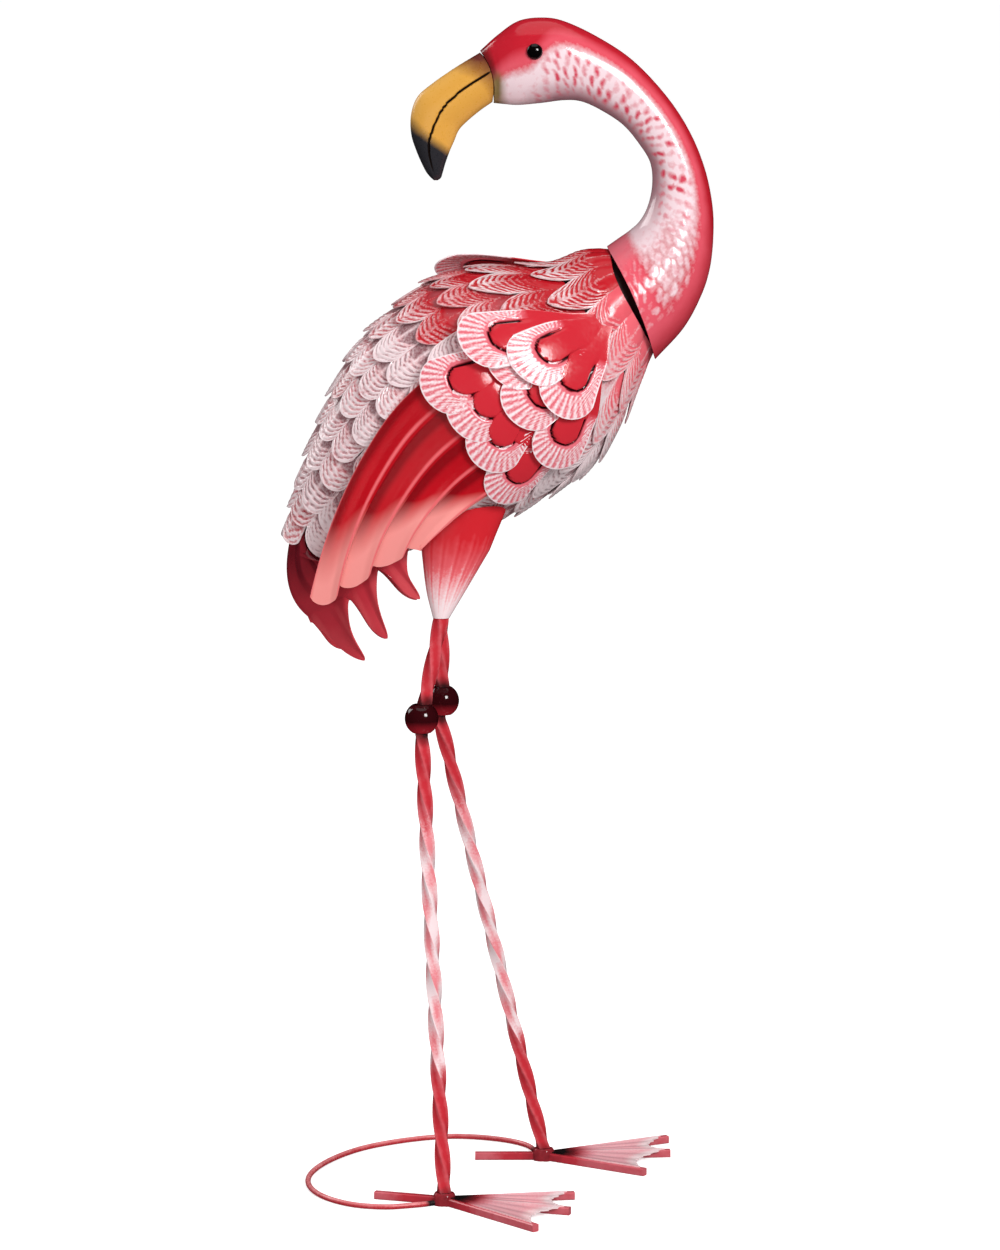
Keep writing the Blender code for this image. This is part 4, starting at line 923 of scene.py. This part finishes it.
# Heading in degrees from straight ahead, positive to the bird's left, and length
TOES = {
    "right": ((-50, 108), (-18.5, 101), (9, 101), (161.5, 56)),
    "left": ((-34, 95), (5, 101), (29, 114), (180, 54)),
}
foot_paint = enamel(
    "foot enamel, dry-brushed", "C23541",
    (("F3A0AA", "pink", 6, 0.3, 0.4), ("FBE2E4", "white", 1.5, 0.5, 0.3),
     ("1D1617", "soot", 7, 0.4, 0.35)), 0.14)


def foot_masks(points, hub, worn, web):
    """Soot lies on the web by the weld; the web turns pink outwards, with white on worn edges."""
    away = np.hypot(points[..., 0] - hub[0], points[..., 1] - hub[1])
    open_part = smooth(20, 48, away)
    return {
        "pink": open_part * (0.32 + 0.68 * web),
        "white": np.clip(open_part * 0.34 * web + 0.42 * worn * smooth(15, 50, away), 0, 1),
        "soot": smooth(42, 10, away) * (0.3 + 0.7 * web),
    }


def toe_bar(name, hub, tip):
    """One square toe bar with worn edges, from the weld to its cut end."""
    run = unit(tip - hub)
    across = np.array([-run[1], run[0]])
    half = TOE_BAR / 2
    edge = 0.7
    profile = []
    for x_sign, y_sign in ((1, 1), (-1, 1), (-1, -1), (1, -1)):
        first, second = (x_sign * half, y_sign * (half - edge)), (x_sign * (half - edge), y_sign * half)
        profile += [first, second] if x_sign == y_sign else [second, first]
    profile = np.array(profile)
    steps = np.linspace(0, 1, 40)
    base = hub + (tip - hub) * steps[:, None]
    drawn = np.zeros((len(steps), len(profile), 3))
    drawn[..., :2] = base[:, None] + across * profile[None, :, :1]
    drawn[..., 2] = half + profile[None, :, 1]
    worn = np.full(drawn.shape[:2], 0.25)
    return closed_tube(name, placed(drawn), foot_masks(drawn, hub, worn, 0.0))


for side_name in SIDES:
    hub = leg_point(HUB, side_name)
    tips = []
    for heading, length in TOES[side_name]:
        angle = math.radians(heading)
        tips.append(hub + np.array([math.cos(angle), math.sin(angle)]) * length)
    parts = [toe_bar(f"toe_{i}", hub, tip) for i, tip in enumerate(tips)]
    for first, second in ((tips[0], tips[1]), (tips[1], tips[2])):
        r, w = np.meshgrid(np.linspace(0.02, 1, 50), np.linspace(0, 1, 33), indexing="ij")
        scoop = 0.955 - 0.125 * np.sin(math.pi * w) ** 0.8 + 0.012 * np.sin(w * 43) + 0.008 * np.sin(w * 91)
        spread = (first - hub) * (1 - w)[..., None] + (second - hub) * w[..., None]
        flat_points = hub + spread * (r * scoop)[..., None]
        hollow = -1.0 * np.sin(math.pi * w) * smooth(0.15, 0.9, r)
        ripple = 0.25 * np.sin(w * 19 + 2 * r) * smooth(0.3, 0.8, r)
        height = TOE_BAR + WEB_SHEET / 2 + hollow + ripple
        drawn = np.concatenate([flat_points, height[..., None]], axis=2)
        worn = np.maximum(smooth(0.86, 0.98, r), 0.6 * smooth(0.85, 1.0, np.abs(2 * w - 1)))
        web = lay_sheet(placed(drawn), foot_masks(drawn, hub, worn, 1.0), placed((hub[0] + 40, hub[1], -200)))
        thicken(web, WEB_SHEET * 0.001)
        parts.append(web)
    angles = circle(48)
    z, radius = np.moveaxis(eased(BOSS_SECTIONS, np.linspace(0, 3, 14)), -1, 0)
    lumps = 0.35 * np.sin(angles * 5 + 1) + 0.25 * np.sin(angles * 9)
    drawn = np.stack([hub[0] + (radius[:, None] + lumps - 0.3) * np.cos(angles),
                      hub[1] + (radius[:, None] + lumps - 0.3) * np.sin(angles), z[:, None] + 0 * angles], -1)
    parts.append(closed_tube("boss", placed(drawn), foot_masks(drawn, hub, np.zeros(drawn.shape[:2]), 0.3)))
    webbed_foot = join(parts, f"webbed_foot_{side_name}")
    hand_over(webbed_foot, foot_paint, "foot_enamel", f"foot_{side_name}")

# The ground ring: 4 mm round wire bent by hand behind the feet and welded to both ankles, so that the
# bird can't tip back. Red enamel thinned to pink on top, burnt black at the two welds.

RING_ROUTE = (
    (-58, -90), (-82, -96), (-108, -88), (-130, -64), (-142, -30), (-142, 8),
    (-129, 50), (-104, 90), (-68, 118), (-32, 130), (2, 122), (26, 102),
)
RING_RADIUS = 2.1
ends = []
for side_name, near in (("right", RING_ROUTE[0]), ("left", RING_ROUTE[-1])):
    hub = leg_point(HUB, side_name)
    ends.append(hub + unit(np.array(near) - hub) * (ANKLE_RADIUS + JOINT_GAP))
route = numbered([ends[0], *RING_ROUTE, ends[1]])
path = eased(route, np.linspace(0, len(route) - 1, 260))
along_path = unit(np.gradient(path, axis=0))
across_path = np.stack([-along_path[:, 1], along_path[:, 0]], 1)
angles = circle(16)
drawn = np.zeros((len(path), len(angles), 3))
drawn[..., :2] = path[:, None] + across_path[:, None] * (RING_RADIUS * np.cos(angles))[None, :, None]
drawn[..., 2] = RING_RADIUS + RING_RADIUS * np.sin(angles)
from_end = np.minimum(np.linspace(0, 1, 260), np.linspace(1, 0, 260))[:, None] * 560
up = np.sin(angles)[None, :] + 0 * from_end
masks = {"pink": 0.15 + 0.4 * smooth(-0.2, 0.9, up), "soot": smooth(34, 8, from_end) + 0 * up}
ring_paint = enamel(
    "ring enamel", "C83A42", (("F2A0A3", "pink", 9, 0.5, 0.3), ("241A1B", "soot", 7, 0.3, 0.35)), 0.25)
ground_ring = closed_tube("steadying_ring", placed(drawn), masks)
hand_over(ground_ring, ring_paint, "ring_enamel", "ground_ring")

# The studio: a plain white floor and white surroundings, a soft bank overhead, one large softbox to the
# right of the camera, a low fill to its left and a weaker softbox behind. The camera stands 4 m in front.

CAMERA_DISTANCE = 4.0
CAMERA_OFFSET = (0.0057, -0.009)  # sideways and further back, from the drawing's origin
CAMERA_HEIGHT = 1.011
CAMERA_PITCH = math.radians(8.16)
FOCAL_PIXELS = 5272.0
IMAGE_HEIGHT = 1250.0
SENSOR_MM = 36.0

bpy.ops.object.select_all(action="DESELECT")
bpy.ops.mesh.primitive_plane_add(size=120.0, location=(0, 0, 0))
floor = bpy.context.object
floor.name = "studio_floor"
floor_paint = bpy.data.materials.new("white studio floor")
floor_paint.use_nodes = True
floor_shader = floor_paint.node_tree.nodes["Principled BSDF"]
floor_shader.inputs["Base Color"].default_value = (0.93, 0.93, 0.93, 1.0)
floor_shader.inputs["Roughness"].default_value = 0.9
floor_shader.inputs["Emission Color"].default_value = (1.0, 1.0, 1.0, 1.0)
floor_shader.inputs["Emission Strength"].default_value = 0.52
floor.data.materials.append(floor_paint)
# The floor is lit white for the picture, without lighting the bird from below or veiling its gloss
floor.visible_diffuse = False
floor.visible_glossy = False

world = bpy.data.worlds.new("white studio")
world.use_nodes = True
world.node_tree.nodes["Background"].inputs["Color"].default_value = (1.0, 1.0, 1.0, 1.0)
world.node_tree.nodes["Background"].inputs["Strength"].default_value = 0.4
world.cycles_visibility.glossy = False  # the studio around the softboxes is dark, so the reds stay deep
bpy.context.scene.world = world
bpy.context.scene.view_settings.view_transform = "Standard"

bpy.ops.object.light_add(type="SUN", location=(0, 0, 4))
overhead = bpy.context.object
overhead.name = "overhead bank"
overhead.data.energy = 0.6
overhead.data.angle = math.radians(60)
for name, place, size, power in (
    ("key softbox", (1.5, -2.4, 2.0), 1.0, 66.0),
    ("front fill", (-1.3, -3.2, 0.35), 1.8, 36.0),
    ("rear softbox", (-2.2, 1.4, 1.9), 1.4, 22.0),
):
    bpy.ops.object.light_add(type="AREA", location=place)
    lamp = bpy.context.object
    lamp.name = name
    lamp.data.size = size
    lamp.data.energy = power
    lamp.visible_glossy = name != "front fill"  # the fill leaves no shine
    lamp.rotation_euler = (Vector((0, 0, 0.6)) - Vector(place)).to_track_quat("-Z", "Y").to_euler()

camera_x = CAMERA_OFFSET[0] + DRAWING_ORIGIN[0]
camera_y = CAMERA_OFFSET[1] + DRAWING_ORIGIN[1] - CAMERA_DISTANCE
bpy.ops.object.camera_add(location=(camera_x, camera_y, CAMERA_HEIGHT))
camera = bpy.context.object
camera.rotation_euler = (math.pi / 2 - CAMERA_PITCH, 0, 0)
camera.data.sensor_fit = "VERTICAL"
camera.data.sensor_height = SENSOR_MM
camera.data.lens = FOCAL_PIXELS / IMAGE_HEIGHT * SENSOR_MM
bpy.context.scene.camera = camera
